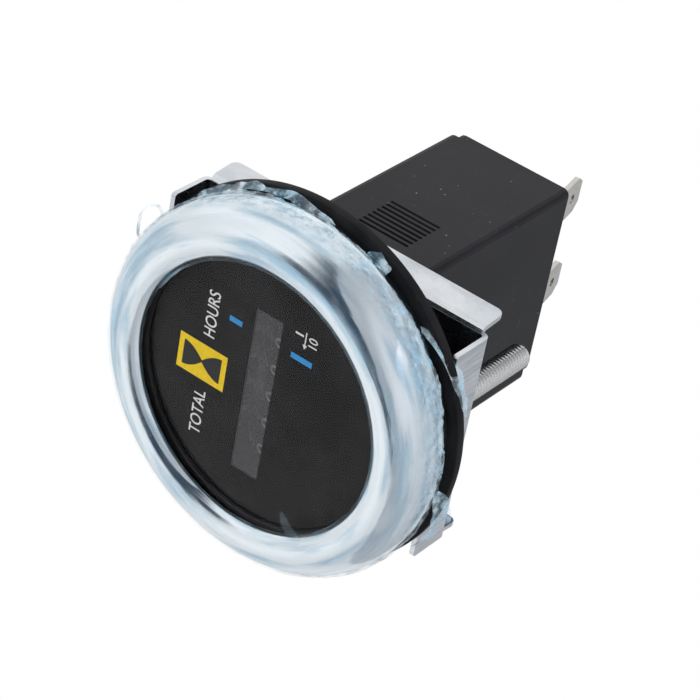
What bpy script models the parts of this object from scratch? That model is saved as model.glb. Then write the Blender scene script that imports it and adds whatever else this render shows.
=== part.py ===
"""Panel hour meter: round bezel and dial in front, rectangular housing behind, clamp bracket on two studs.

Frame: X runs right along the dial's words, Y runs back through the panel and Z runs up the dial.
The origin is the centre of the gasket's rear face, where the meter seats on a panel's front.
"""
import math

import bmesh
import bpy
from mathutils import Vector

MM = 0.001

# Clearances
SEAT_GAP = 0.3 * MM
RUN_GAP = 0.1 * MM
CUT_PAST = 1.0 * MM

# Bezel, a formed ring of sheet
BEZEL_RADIUS = 29.6 * MM
BEZEL_OPENING_RADIUS = 21.9 * MM
BEZEL_CREST_RADIUS = 24.6 * MM
BEZEL_DEPTH = 10.1 * MM
BEZEL_NOSE = 5.1 * MM
BEZEL_LIP_DROP = 1.3 * MM
BEZEL_SHEET = 0.7 * MM
BEZEL_TAPER = 3.9 * MM
BEZEL_TAPER_LENGTH = 7.0 * MM
BEZEL_CRIMP_RADIUS = 26.4 * MM
BEZEL_CRIMP_EDGE = 0.55 * MM
BEZEL_SEGMENTS = 48
BEZEL_ARC_STEPS = 4

# Protective film
FILM_GAP = 0.2 * MM
FILM_SHEET = 0.2 * MM
FILM_SEGMENTS = 48
FILM_REAR_ANGLE = 5.0
FILM_SKIRT = 1.0 * MM
FILM_TEAR = 1.4 * MM

# Gasket
GASKET_RADIUS = 30.05 * MM
GASKET_SHEET = 1.6 * MM
GASKET_EDGE = 0.2 * MM

# Lens, spacer and dial
LENS_RADIUS = 24.6 * MM
LENS_SHEET = 1.1 * MM
LENS_EDGE = 0.2 * MM
SPACER_SHEET = 0.7 * MM
DIAL_SHEET = 0.6 * MM
WINDOW_LENGTH = 28.8 * MM
WINDOW_HEIGHT = 5.1 * MM

# The movement and the housing lie a little off the bezel's axis
MOVEMENT_X = -1.6 * MM
MOVEMENT_Z = 1.4 * MM

# Case
COLLAR_RADIUS = 24.2 * MM
COLLAR_REACH = 4.0 * MM
CUP_WALL = 1.4 * MM
CUP_FLOOR = 2.0 * MM
CASE_FLANGE_RADIUS = 27.2 * MM
CASE_FLANGE_SHEET = 2.5 * MM
HOUSING_LENGTH_X = 36.2 * MM
HOUSING_LENGTH_Z = 22.8 * MM
HOUSING_REAR = 50.7 * MM
HOUSING_WALL = 1.5 * MM
HOUSING_CORNER = 1.1 * MM
HOUSING_CHAMFER = 0.4 * MM

# Grip pad on each side of the housing
GRIP_REAR = 26.2 * MM
GRIP_GROOVES = 8
GRIP_PITCH = 1.15 * MM
GRIP_GROOVE = 0.55 * MM
GRIP_DEPTH = 0.4 * MM
GRIP_LENGTH = 9.4 * MM

# Rear cover
COVER_INSET = 0.6 * MM
COVER_SHEET = 2.2 * MM
COVER_LIP = 3.5 * MM
COVER_LIP_WALL = 1.3 * MM

# Spade terminals
BLADE_WIDTH = 6.3 * MM
BLADE_SHEET = 0.8 * MM
BLADE_LENGTH = 8.0 * MM
BLADE_CHAMFER_LENGTH = 1.75 * MM
BLADE_CHAMFER_WIDTH = 1.25 * MM
BLADE_HOLE_RADIUS = 0.8 * MM
BLADE_HOLE_SETBACK = 3.3 * MM
BLADE_TILT = 10.8
BLADE_Z = -9.2 * MM
BLADE_X = (12.9 * MM, -3.2 * MM)
TAIL_WIDTH = 3.0 * MM
TAIL_SHOULDER = 1.2 * MM
TAIL_ROOM = 4.0 * MM

# Studs, nuts and washers, M4 with a 0.7 mm pitch
STUD_RADIUS = 2.0 * MM
STUD_REAR = 32.7 * MM
STUD_SPREAD = 19.6 * MM
STUD_HEAD_RADIUS = 3.6 * MM
STUD_HEAD = 1.5 * MM
NUT_FLATS = 7.0 * MM
NUT_HEIGHT = 3.2 * MM
WASHER_RADIUS = 3.7 * MM
WASHER_SHEET = 1.0 * MM
WASHER_SPLIT = 0.7 * MM

# Bracket, folded from one sheet
BRACKET_SHEET = 0.8 * MM
BRACKET_BEND = 0.9 * MM
LEG_HEIGHT = 8.3 * MM
LEG_SPREAD = 26.9 * MM
LEG_WIDTH = 36.6 * MM
FLANGE_HEIGHT = 5.6 * MM
FLANGE_LENGTH = 51.2 * MM
FLANGE_FLARE = 6.0
SHEET_CORNER = 1.2 * MM

# Counter
WHEEL_COUNT = 6
WHEEL_PITCH = 4.9 * MM
WHEEL_SEGMENTS = 32
WHEEL_RADIUS = 5.2 * MM
WHEEL_RIM = 3.4 * MM
WHEEL_DROP = 4.2 * MM
WHEEL_GEAR_FACE = 0.5 * MM
CARRY_DISC_RADIUS = 3.3 * MM
CARRY_TOOTH_RADIUS = 3.85 * MM
CARRY_ANGLE = 36.0
SHAFT_RADIUS = 0.8 * MM
PIN_RADIUS = 0.6 * MM
MESH_EASE = 0.12 * MM

# Tooth counts and modules
CARRY_MODULE = 0.45 * MM
CARRY_WHEEL_TEETH = 20
CARRY_PINION_TEETH = 8
DRIVE_MODULE = 0.4 * MM
OUTPUT_TEETH = 24
IDLER_TEETH = 20
DRIVE_PINION_TEETH = 8
FAST_MODULE = 0.3 * MM
REDUCTION_TEETH = 40
ROTOR_PINION_TEETH = 8

# Movement frame and motor
FRAME_SHEET = 0.7 * MM
FRAME_PLAY = 0.5 * MM
FRAME_REAR = 45.3 * MM
FRAME_TOP = 8.6 * MM
FRAME_FLOOR = 8.5 * MM
FRAME_FLOOR_FRONT = 8.0 * MM
DRIVE_GEAR_FACE = 0.8 * MM
ROTOR_RADIUS = 3.4 * MM
ROTOR_LENGTH = 6.0 * MM
ROTOR_X = 6.1 * MM
STATOR_SHEET = 1.0 * MM
STATOR_LIMB = 3.0 * MM
STATOR_REAR = 41.5 * MM
STATOR_AIR = 0.5 * MM
COIL_LENGTH = 12.4 * MM
COIL_THICK = 7.0 * MM
COIL_DEPTH = 8.4 * MM
BOBBIN_WALL = 0.6 * MM
BOARD_SHEET = 1.2 * MM
BOARD_NOTCH = 2.8 * MM
PART_X = -8.0 * MM
PART_SPREAD = 5.0 * MM
CHIP_LENGTH = 6.0 * MM
CHIP_WIDTH = 4.0 * MM
CHIP_HEIGHT = 1.6 * MM
CAPACITOR_RADIUS = 2.5 * MM
CAPACITOR_HEIGHT = 5.0 * MM
CRYSTAL_RADIUS = 1.5 * MM
CRYSTAL_HEIGHT = 6.0 * MM
FRAME_STEP = 2.3 * MM


class Frame:
    """Places along Y that several pieces share, worked out from the sizes above."""

    bezel_rear = -GASKET_SHEET - SEAT_GAP
    bezel_front = bezel_rear - BEZEL_DEPTH
    bezel_widest = bezel_front + BEZEL_NOSE
    lens_front = bezel_front + BEZEL_LIP_DROP + SEAT_GAP
    lens_rear = lens_front + LENS_SHEET
    spacer_front = lens_rear + SEAT_GAP
    spacer_rear = spacer_front + SPACER_SHEET
    dial_front = spacer_rear + SEAT_GAP
    dial_rear = dial_front + DIAL_SHEET
    cup_front = dial_rear + SEAT_GAP
    wheel_y = dial_front + WHEEL_DROP + WHEEL_RADIUS
    plate_rear = SEAT_GAP + LEG_HEIGHT
    plate_front = plate_rear - BRACKET_SHEET
    washer_front = plate_rear + SEAT_GAP
    nut_front = washer_front + WASHER_SHEET + SEAT_GAP
    cover_front = HOUSING_REAR + SEAT_GAP
    cover_rear = cover_front + COVER_SHEET
    lip_front = cover_front - COVER_LIP
    board_rear = lip_front - SEAT_GAP
    board_front = board_rear - BOARD_SHEET
    frame_half = HOUSING_LENGTH_X / 2 - HOUSING_WALL - FRAME_PLAY
    idler_y = wheel_y + DRIVE_MODULE * (OUTPUT_TEETH + IDLER_TEETH) / 2 + MESH_EASE
    reduction_y = idler_y + DRIVE_MODULE * (IDLER_TEETH + DRIVE_PINION_TEETH) / 2 + MESH_EASE
    rotor_y = reduction_y + FAST_MODULE * (REDUCTION_TEETH + ROTOR_PINION_TEETH) / 2 + MESH_EASE
    pinion_z = CARRY_MODULE * (CARRY_WHEEL_TEETH + CARRY_PINION_TEETH) / 2 + MESH_EASE


# Materials

def material(name, colour, roughness, metallic=0.0, alpha=1.0):
    found = bpy.data.materials.get(name)
    if found:
        return found
    made = bpy.data.materials.new(name)
    made.use_nodes = True
    shader = made.node_tree.nodes["Principled BSDF"]
    shader.inputs["Base Color"].default_value = (*colour, 1.0)
    shader.inputs["Roughness"].default_value = roughness
    shader.inputs["Metallic"].default_value = metallic
    shader.inputs["Alpha"].default_value = alpha
    return made


def chrome():
    return material("polished_chrome", (0.80, 0.84, 0.87), 0.10, 1.0)


def blue_film():
    return material("blue_film", (0.62, 0.78, 0.88), 0.18, 0.0, 0.45)


def clear_plastic():
    return material("clear_lens", (0.92, 0.94, 0.95), 0.05, 0.0, 0.25)


def black_plastic():
    return material("black_plastic", (0.022, 0.023, 0.026), 0.45)


def dial_black():
    return material("dial_black", (0.018, 0.018, 0.019), 0.70)


def grey_plastic():
    return material("grey_spacer", (0.24, 0.24, 0.25), 0.50)


def rubber():
    return material("gasket_rubber", (0.012, 0.012, 0.014), 0.65)


def zinc():
    return material("zinc_plate", (0.62, 0.67, 0.71), 0.32, 1.0)


def steel():
    return material("plated_steel", (0.60, 0.60, 0.58), 0.30, 1.0)


def tin():
    return material("tinned_brass", (0.66, 0.64, 0.60), 0.38, 1.0)


def wheel_black():
    return material("wheel_black", (0.030, 0.030, 0.032), 0.55)


def gear_plastic():
    return material("white_gear_plastic", (0.72, 0.70, 0.64), 0.50)


def copper():
    return material("copper_winding", (0.62, 0.26, 0.12), 0.35, 1.0)


def board_green():
    return material("board_green", (0.03, 0.17, 0.08), 0.45)


# Mesh tools

def make_object(name, bm, finish, place=(0.0, 0.0, 0.0), sharp=35.0):
    bmesh.ops.recalc_face_normals(bm, faces=bm.faces)
    mesh = bpy.data.meshes.new(name)
    bm.to_mesh(mesh)
    bm.free()
    mesh.materials.append(finish)
    mesh.shade_smooth()
    mesh.set_sharp_from_angle(angle=math.radians(sharp))
    made = bpy.data.objects.new(name, mesh)
    made.location = place
    bpy.context.collection.objects.link(made)
    return made


def share_mesh(name, source, place):
    made = bpy.data.objects.new(name, source.data)
    made.location = place
    bpy.context.collection.objects.link(made)
    return made


def combine(target, tool, operation):
    """Joins, cuts or crops the target with the tool, then removes the tool."""
    bpy.context.view_layer.update()
    change = target.modifiers.new("combine", "BOOLEAN")
    change.operation = operation
    change.object = tool
    graph = bpy.context.evaluated_depsgraph_get()
    result = bpy.data.meshes.new_from_object(target.evaluated_get(graph))
    target.modifiers.remove(change)
    old = target.data
    target.data = result
    result.name = target.name
    bpy.data.meshes.remove(old)
    spare = tool.data
    bpy.data.objects.remove(tool)
    bpy.data.meshes.remove(spare)
    target.data.set_sharp_from_angle(angle=math.radians(35.0))
    return target


def axis_points(axis, flat, along):
    """Maps an outline's (a, b) pairs into space, at a place along the axis."""
    if axis == "X":
        return [Vector((along, a, b)) for a, b in flat]
    if axis == "Y":
        return [Vector((a, along, b)) for a, b in flat]
    return [Vector((a, b, along)) for a, b in flat]


def blank(outline, holes, axis, low, high):
    """A flat plate cut to an outline, with holes, between two places along an axis."""
    bm = bmesh.new()
    edges = []
    for loop in [outline] + holes:
        verts = [bm.verts.new(point) for point in axis_points(axis, loop, low)]
        edges += [bm.edges.new((verts[i - 1], verts[i])) for i in range(len(verts))]
    bmesh.ops.triangle_fill(bm, use_beauty=True, use_dissolve=False, edges=edges)
    grown = bmesh.ops.extrude_face_region(bm, geom=bm.faces[:])
    moved = [item for item in grown["geom"] if isinstance(item, bmesh.types.BMVert)]
    shift = axis_points(axis, [(0.0, 0.0)], high - low)[0]
    bmesh.ops.translate(bm, vec=shift, verts=moved)
    return bm


def loft(loops):
    """A solid through equal loops of points, capped at both ends."""
    bm = bmesh.new()
    rings = [[bm.verts.new(point) for point in loop] for loop in loops]
    count = len(rings[0])
    for near, far in zip(rings, rings[1:]):
        for i in range(count):
            j = (i + 1) % count
            bm.faces.new((near[i], near[j], far[j], far[i]))
    bm.faces.new(rings[0])
    bm.faces.new(list(reversed(rings[-1])))
    return bm


def lathe(profile, segments):
    """Turns a closed outline of (radius, y) pairs about the Y axis."""
    bm = bmesh.new()
    rings = []
    for radius, y in profile:
        if radius < 1e-7:
            rings.append([bm.verts.new((0.0, y, 0.0))] * segments)
            continue
        ring = []
        for i in range(segments):
            turn = 2 * math.pi * i / segments
            ring.append(bm.verts.new((radius * math.cos(turn), y, radius * math.sin(turn))))
        rings.append(ring)
    for k in range(len(rings)):
        near = rings[k - 1]
        far = rings[k]
        for i in range(segments):
            j = (i + 1) % segments
            corners = []
            for vert in (near[i], near[j], far[j], far[i]):
                if vert not in corners:
                    corners.append(vert)
            if len(corners) > 2:
                bm.faces.new(corners)
    return bm


def circle(radius, steps, centre=(0.0, 0.0), phase=0.0):
    turns = [phase + 2 * math.pi * i / steps for i in range(steps)]
    return [(centre[0] + radius * math.cos(t), centre[1] + radius * math.sin(t)) for t in turns]


def rectangle(half_a, half_b, centre=(0.0, 0.0)):
    a, b = centre
    corners = ((-half_a, -half_b), (half_a, -half_b), (half_a, half_b), (-half_a, half_b))
    return [(a + da, b + db) for da, db in corners]


def round_rectangle(half_a, half_b, radius, centre=(0.0, 0.0), steps=3):
    points = []
    for corner, (sign_a, sign_b) in enumerate(((1, 1), (-1, 1), (-1, -1), (1, -1))):
        for i in range(steps + 1):
            turn = math.pi / 2 * (corner + i / steps)
            a = centre[0] + sign_a * (half_a - radius) + radius * math.cos(turn)
            b = centre[1] + sign_b * (half_b - radius) + radius * math.sin(turn)
            points.append((a, b))
    return points


def gear_outline(teeth, module, phase=0.0):
    """A gear's outline: straight flanks, four points a tooth, the first tooth centred on the phase."""
    root = module * (teeth / 2 - 1.1)
    tip = module * (teeth / 2 + 0.9)
    step = 2 * math.pi / teeth
    points = []
    for tooth in range(teeth):
        middle = phase + tooth * step
        for radius, lead in ((root, -0.30), (tip, -0.11), (tip, 0.11), (root, 0.30)):
            turn = middle + lead * step
            points.append((radius * math.cos(turn), radius * math.sin(turn)))
    return points


def fillet_path(corners, radius, steps=4):
    """An open path whose inner corners are replaced by arcs."""
    path = [Vector(corners[0])]
    for before, corner, after in zip(corners, corners[1:], corners[2:]):
        corner = Vector(corner)
        inward = (Vector(before) - corner).normalized()
        outward = (Vector(after) - corner).normalized()
        half = inward.angle(outward) / 2
        reach = radius / math.tan(half)
        centre = corner + (inward + outward).normalized() * (radius / math.sin(half))
        start = corner + inward * reach - centre
        end = corner + outward * reach - centre
        for i in range(steps + 1):
            part = start.lerp(end, i / steps).normalized() * radius
            path.append(centre + part)
    path.append(Vector(corners[-1]))
    return path


def path_normals(path):
    normals = []
    for i, point in enumerate(path):
        before = path[max(i - 1, 0)]
        after = path[min(i + 1, len(path) - 1)]
        lead = (point - before).normalized() if i else (after - point).normalized()
        trail = (after - point).normalized() if i < len(path) - 1 else lead
        along = (lead + trail).normalized()
        grow = 1.0 / max(along.dot(lead), 0.5)
        normals.append(Vector((-along.y, along.x)) * grow)
    return normals


def thicken(path, thickness):
    """The closed outline of a strip of even thickness along a path."""
    normals = path_normals(path)
    left = [point + normal * thickness / 2 for point, normal in zip(path, normals)]
    right = [point - normal * thickness / 2 for point, normal in zip(path, normals)]
    return [tuple(point) for point in left + right[::-1]]


def cylinder_y(name, radius, front, rear, finish, chamfer):
    profile = [(0.0, front), (radius - chamfer, front), (radius, front + chamfer)]
    profile += [(radius, rear - chamfer), (radius - chamfer, rear), (0.0, rear)]
    return make_object(name, lathe(profile, BEZEL_SEGMENTS), finish)


def tool_box(centre, size):
    half = [value / 2 for value in size]
    loop = rectangle(half[0], half[2], (centre[0], centre[2]))
    bm = blank(loop, [], "Y", centre[1] - half[1], centre[1] + half[1])
    return make_object("tool", bm, black_plastic())


def tool_bore(axis, radius, centre, low, high, segments=16):
    bm = blank(circle(radius, segments, centre), [], axis, low, high)
    return make_object("tool", bm, black_plastic())


# Front group

def bezel_section(offset=0.0):
    """The bezel's outer surface from its lip to its rear edge, as (radius, y), moved out by an offset."""
    points = []
    lip = BEZEL_CREST_RADIUS - BEZEL_OPENING_RADIUS
    for i in range(BEZEL_ARC_STEPS):
        turn = math.pi / 2 * i / BEZEL_ARC_STEPS
        radius = BEZEL_CREST_RADIUS - lip * math.cos(turn)
        points.append((radius, Frame.bezel_front + BEZEL_LIP_DROP * (1 - math.sin(turn))))
    nose = BEZEL_RADIUS - BEZEL_CREST_RADIUS
    for i in range(BEZEL_ARC_STEPS):
        turn = math.pi / 2 * i / BEZEL_ARC_STEPS
        radius = BEZEL_CREST_RADIUS + nose * math.sin(turn)
        points.append((radius, Frame.bezel_widest - BEZEL_NOSE * math.cos(turn)))
    skirt = Frame.bezel_rear - BEZEL_CRIMP_EDGE - Frame.bezel_widest
    for i in range(BEZEL_ARC_STEPS - 1):
        along = skirt * i / (BEZEL_ARC_STEPS - 2)
        taper = BEZEL_TAPER * (1 - math.sqrt(1 - (along / BEZEL_TAPER_LENGTH) ** 2))
        points.append((BEZEL_RADIUS - taper, Frame.bezel_widest + along))
    points.append((points[-1][0] - BEZEL_CRIMP_EDGE, Frame.bezel_rear))
    points.append((BEZEL_CRIMP_RADIUS, Frame.bezel_rear))
    path = [Vector(point) for point in points]
    normals = path_normals(path)
    return [tuple(point - normal * offset) for point, normal in zip(path, normals)]


def build_bezel():
    outer = bezel_section()
    inner = bezel_section(-BEZEL_SHEET)
    return make_object("bezel", lathe(outer + inner[::-1], BEZEL_SEGMENTS), chrome())


def film_tear(turn):
    """How far the film's torn edge reaches at an angle, from 0 to 1."""
    waves = ((5, 0.4, 0.30), (11, 1.9, 0.25), (23, 0.7, 0.25), (37, 2.6, 0.20))
    return 0.5 + sum(share * math.sin(count * turn + lag) for count, lag, share in waves) / 2


def build_film():
    """The film lies on the bezel and stands free of it along a torn rear edge."""
    low = bezel_section(FILM_GAP)[1:]
    keep = [point for point in low if point[1] < Frame.bezel_widest + 0.2 * BEZEL_NOSE]
    high_all = bezel_section(FILM_GAP + FILM_SHEET)[1:]
    high = high_all[:len(keep)]
    lean = math.radians(FILM_REAR_ANGLE)
    bm = bmesh.new()
    columns = []
    for i in range(FILM_SEGMENTS):
        turn = 2 * math.pi * i / FILM_SEGMENTS
        reach = FILM_SKIRT + FILM_TEAR * film_tear(turn)
        radius, y = keep[-1]
        edge_low = (radius - reach * math.sin(lean), y + reach * math.cos(lean))
        edge_high = (edge_low[0] + FILM_SHEET, edge_low[1])
        section = keep + [edge_low, edge_high] + high[::-1]
        cosine = math.cos(turn)
        sine = math.sin(turn)
        columns.append([bm.verts.new((r * cosine, along, r * sine)) for r, along in section])
    count = len(columns[0])
    for i, near in enumerate(columns):
        far = columns[(i + 1) % FILM_SEGMENTS]
        for k in range(count):
            bm.faces.new((near[k - 1], near[k], far[k], far[k - 1]))
    return make_object("protective_film", bm, blue_film())


def build_lens():
    front = Frame.lens_front
    return cylinder_y("lens", LENS_RADIUS, front, Frame.lens_rear, clear_plastic(), LENS_EDGE)


def build_spacer_ring():
    profile = [
        (BEZEL_OPENING_RADIUS, Frame.spacer_front),
        (LENS_RADIUS, Frame.spacer_front),
        (LENS_RADIUS, Frame.spacer_rear),
        (BEZEL_OPENING_RADIUS, Frame.spacer_rear),
    ]
    return make_object("lens_spacer_ring", lathe(profile, BEZEL_SEGMENTS), grey_plastic())


def build_dial_plate():
    window = rectangle(WINDOW_LENGTH / 2, WINDOW_HEIGHT / 2, (MOVEMENT_X, MOVEMENT_Z))
    bm = blank(circle(LENS_RADIUS, BEZEL_SEGMENTS), [window], "Y", Frame.dial_front, Frame.dial_rear)
    return make_object("dial_plate", bm, dial_black())


def build_gasket():
    hole = COLLAR_RADIUS + SEAT_GAP
    edge = GASKET_EDGE
    profile = [
        (hole, -GASKET_SHEET),
        (GASKET_RADIUS - edge, -GASKET_SHEET),
        (GASKET_RADIUS, -GASKET_SHEET + edge),
        (GASKET_RADIUS, -edge),
        (GASKET_RADIUS - edge, 0.0),
        (hole, 0.0),
    ]
    return make_object("gasket", lathe(profile, BEZEL_SEGMENTS), rubber())


# Case and rear cover

def cup_profile():
    """The case's round front: dial seat, flange that the bezel grips, collar and floor."""
    flange_rear = Frame.bezel_rear - BEZEL_SHEET - SEAT_GAP
    flange_front = flange_rear - CASE_FLANGE_SHEET
    seat = COLLAR_RADIUS - CUP_WALL
    edge = HOUSING_CHAMFER
    profile = [(0.0, COLLAR_REACH - CUP_FLOOR), (seat, COLLAR_REACH - CUP_FLOOR), (seat, Frame.cup_front)]
    profile += [(LENS_RADIUS, Frame.cup_front), (LENS_RADIUS, flange_front)]
    profile += [(CASE_FLANGE_RADIUS, flange_front), (CASE_FLANGE_RADIUS, flange_rear)]
    profile += [(COLLAR_RADIUS, flange_rear), (COLLAR_RADIUS, COLLAR_REACH - edge)]
    profile += [(COLLAR_RADIUS - edge, COLLAR_REACH), (0.0, COLLAR_REACH)]
    return profile


def box_loop(half_x, half_z, radius, y):
    loop = round_rectangle(half_x, half_z, radius, (MOVEMENT_X, MOVEMENT_Z))
    return axis_points("Y", loop, y)


def build_case():
    half_x = HOUSING_LENGTH_X / 2
    half_z = HOUSING_LENGTH_Z / 2
    edge = HOUSING_CHAMFER
    case = make_object("case", lathe(cup_profile(), BEZEL_SEGMENTS), black_plastic())
    loops = [box_loop(half_x, half_z, HOUSING_CORNER, COLLAR_REACH - CUP_FLOOR / 2)]
    loops.append(box_loop(half_x, half_z, HOUSING_CORNER, HOUSING_REAR - edge))
    loops.append(box_loop(half_x - edge, half_z - edge, HOUSING_CORNER - edge, HOUSING_REAR))
    combine(case, make_object("tool", loft(loops), black_plastic()), "UNION")
    inner_x = half_x - HOUSING_WALL
    inner_z = half_z - HOUSING_WALL
    ends = (Frame.cup_front, HOUSING_REAR + CUT_PAST)
    pocket = [box_loop(inner_x, inner_z, HOUSING_CORNER / 2, y) for y in ends]
    combine(case, make_object("tool", loft(pocket), black_plastic()), "DIFFERENCE")
    for side in (-1, 1):
        centre = (MOVEMENT_X, MOVEMENT_Z + side * STUD_SPREAD)
        hole = tool_bore("Y", STUD_RADIUS + RUN_GAP, centre, -CUT_PAST, COLLAR_REACH + CUT_PAST)
        combine(case, hole, "DIFFERENCE")
        combine(case, grip_tool(side), "DIFFERENCE")
    return case


def grip_tool(side):
    """The comb of cutters for one side's row of grip grooves."""
    face = MOVEMENT_X + side * HOUSING_LENGTH_X / 2
    spine = 2 * GRIP_DEPTH
    comb = None
    for i in range(GRIP_GROOVES):
        y = GRIP_REAR - GRIP_GROOVE / 2 - i * GRIP_PITCH
        depth = face - side * GRIP_DEPTH
        outer = face + side * spine
        loop = [(depth, y - GRIP_GROOVE / 4), (depth, y + GRIP_GROOVE / 4)]
        loop += [(face, y + GRIP_GROOVE / 2), (outer, y + GRIP_GROOVE / 2)]
        loop += [(outer, y - GRIP_GROOVE / 2), (face, y - GRIP_GROOVE / 2)]
        low = MOVEMENT_Z - GRIP_LENGTH / 2
        tooth = make_object("tool", blank(loop, [], "Z", low, low + GRIP_LENGTH), black_plastic())
        comb = tooth if comb is None else combine(comb, tooth, "UNION")
    return comb


def build_rear_cover():
    half_x = HOUSING_LENGTH_X / 2 - COVER_INSET
    half_z = HOUSING_LENGTH_Z / 2 - COVER_INSET
    edge = COVER_INSET
    loops = [box_loop(half_x, half_z, HOUSING_CORNER, Frame.cover_front)]
    loops.append(box_loop(half_x, half_z, HOUSING_CORNER, Frame.cover_rear - edge))
    loops.append(box_loop(half_x - edge, half_z - edge, HOUSING_CORNER - edge / 2, Frame.cover_rear))
    cover = make_object("rear_cover", loft(loops), black_plastic())
    lip_x = HOUSING_LENGTH_X / 2 - HOUSING_WALL - SEAT_GAP
    lip_z = HOUSING_LENGTH_Z / 2 - HOUSING_WALL - SEAT_GAP
    centre = (MOVEMENT_X, MOVEMENT_Z)
    outside = round_rectangle(lip_x, lip_z, HOUSING_CORNER / 2, centre)
    inside = rectangle(lip_x - COVER_LIP_WALL, lip_z - COVER_LIP_WALL, centre)
    lip = blank(outside, [inside], "Y", Frame.lip_front, Frame.cover_front + COVER_SHEET / 4)
    combine(cover, make_object("tool", lip, black_plastic()), "UNION")
    for x in BLADE_X:
        place = (MOVEMENT_X + x, (Frame.lip_front + Frame.cover_rear) / 2, MOVEMENT_Z + BLADE_Z)
        size = (BLADE_WIDTH + 2 * SEAT_GAP, COVER_LIP + 2 * COVER_SHEET, BLADE_SHEET + 2 * SEAT_GAP)
        combine(cover, tool_box(place, size), "DIFFERENCE")
        place = (MOVEMENT_X + x, Frame.lip_front, MOVEMENT_Z + BLADE_Z)
        size = (BLADE_WIDTH + 2 * SEAT_GAP, 2 * COVER_LIP - SEAT_GAP, TAIL_ROOM)
        combine(cover, tool_box(place, size), "DIFFERENCE")
    return cover


# Terminals

def build_terminal(name, x):
    """A spade blade: a narrow tail at the board, a full-width blade, bent up a little behind the cover."""
    tail = TAIL_WIDTH / 2
    full = BLADE_WIDTH / 2
    shoulder = Frame.cover_front - Frame.cover_rear
    tail_end = Frame.board_front - SEAT_GAP - Frame.cover_rear
    stations = (
        (tail_end, tail),
        (shoulder - TAIL_SHOULDER, tail),
        (shoulder, full),
        (SEAT_GAP, full),
        (BLADE_LENGTH - BLADE_CHAMFER_LENGTH, full),
        (BLADE_LENGTH, full - BLADE_CHAMFER_WIDTH),
    )
    tilt = math.radians(BLADE_TILT)
    bend = SEAT_GAP
    half = BLADE_SHEET / 2
    loops = []
    for length, width in stations:
        beyond = max(length - bend, 0.0)
        y = Frame.cover_rear + min(length, bend) + beyond * math.cos(tilt)
        z = beyond * math.sin(tilt)
        lean = tilt if beyond > 0.0 else (tilt / 2 if length == bend else 0.0)
        up = Vector((0.0, -math.sin(lean), math.cos(lean)))
        centre = Vector((0.0, y, z))
        loops.append([
            centre + Vector((-width, 0.0, 0.0)) - up * half,
            centre + Vector((width, 0.0, 0.0)) - up * half,
            centre + Vector((width, 0.0, 0.0)) + up * half,
            centre + Vector((-width, 0.0, 0.0)) + up * half,
        ])
    place = Vector((MOVEMENT_X + x, 0.0, MOVEMENT_Z + BLADE_Z))
    loops = [[point + place for point in loop] for loop in loops]
    blade = make_object(name, loft(loops), tin())
    reach = BLADE_LENGTH - BLADE_HOLE_SETBACK - bend
    y = Frame.cover_rear + bend + reach * math.cos(tilt)
    hole = tool_bore("Z", BLADE_HOLE_RADIUS, (MOVEMENT_X + x, y), -BLADE_LENGTH, BLADE_LENGTH)
    hole.location.z = MOVEMENT_Z + BLADE_Z + reach * math.sin(tilt)
    return combine(blade, hole, "DIFFERENCE")


# Studs, bracket, washers and nuts

def build_stud(name, side):
    """A stud whose head is trimmed to the case's round wall, which keeps it from turning."""
    floor = COLLAR_REACH - CUP_FLOOR
    edge = STUD_RADIUS / 4
    head_rear = floor - SEAT_GAP
    place = (MOVEMENT_X, MOVEMENT_Z + side * STUD_SPREAD)
    head = blank(circle(STUD_HEAD_RADIUS, 24, place), [], "Y", head_rear - STUD_HEAD, head_rear)
    stud = make_object(name, head, steel())
    wall = COLLAR_RADIUS - CUP_WALL - SEAT_GAP
    combine(stud, tool_bore("Y", wall, (0.0, 0.0), -COLLAR_REACH, COLLAR_REACH, 64), "INTERSECT")
    profile = [
        (0.0, head_rear - STUD_HEAD / 2),
        (STUD_RADIUS * 0.6, head_rear - STUD_HEAD / 2),
        (STUD_RADIUS * 0.6, head_rear),
        (STUD_RADIUS, head_rear),
        (STUD_RADIUS, STUD_REAR - edge),
        (STUD_RADIUS - edge, STUD_REAR),
        (0.0, STUD_REAR),
    ]
    shank = make_object("tool", lathe(profile, 24), steel())
    shank.location = (place[0], 0.0, place[1])
    return combine(stud, shank, "UNION")


def folded_strip(corners, crop, axes, span, crop_span):
    """A folded strip extruded along one axis, its free corners rounded by a crop along another."""
    outline = thicken(fillet_path(corners, BRACKET_BEND), BRACKET_SHEET)
    strip = make_object("tool", blank(outline, [], axes[0], *span), zinc())
    rounded = make_object("tool", blank(crop, [], axes[1], *crop_span), zinc())
    return combine(strip, rounded, "INTERSECT")


def rounded_end(half, near, far, radius, steps=3):
    """An outline that is square at one end and rounded at the other."""
    direction = 1 if far > near else -1
    points = [(-half, near)]
    for sign in (-1, 1):
        for i in range(steps + 1):
            turn = math.pi / 2 * (i / steps if sign < 0 else 1 - i / steps)
            a = sign * (half - radius + radius * math.cos(turn))
            b = far - direction * (radius - radius * math.sin(turn))
            points.append((a, b))
    points.append((half, near))
    return points


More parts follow.
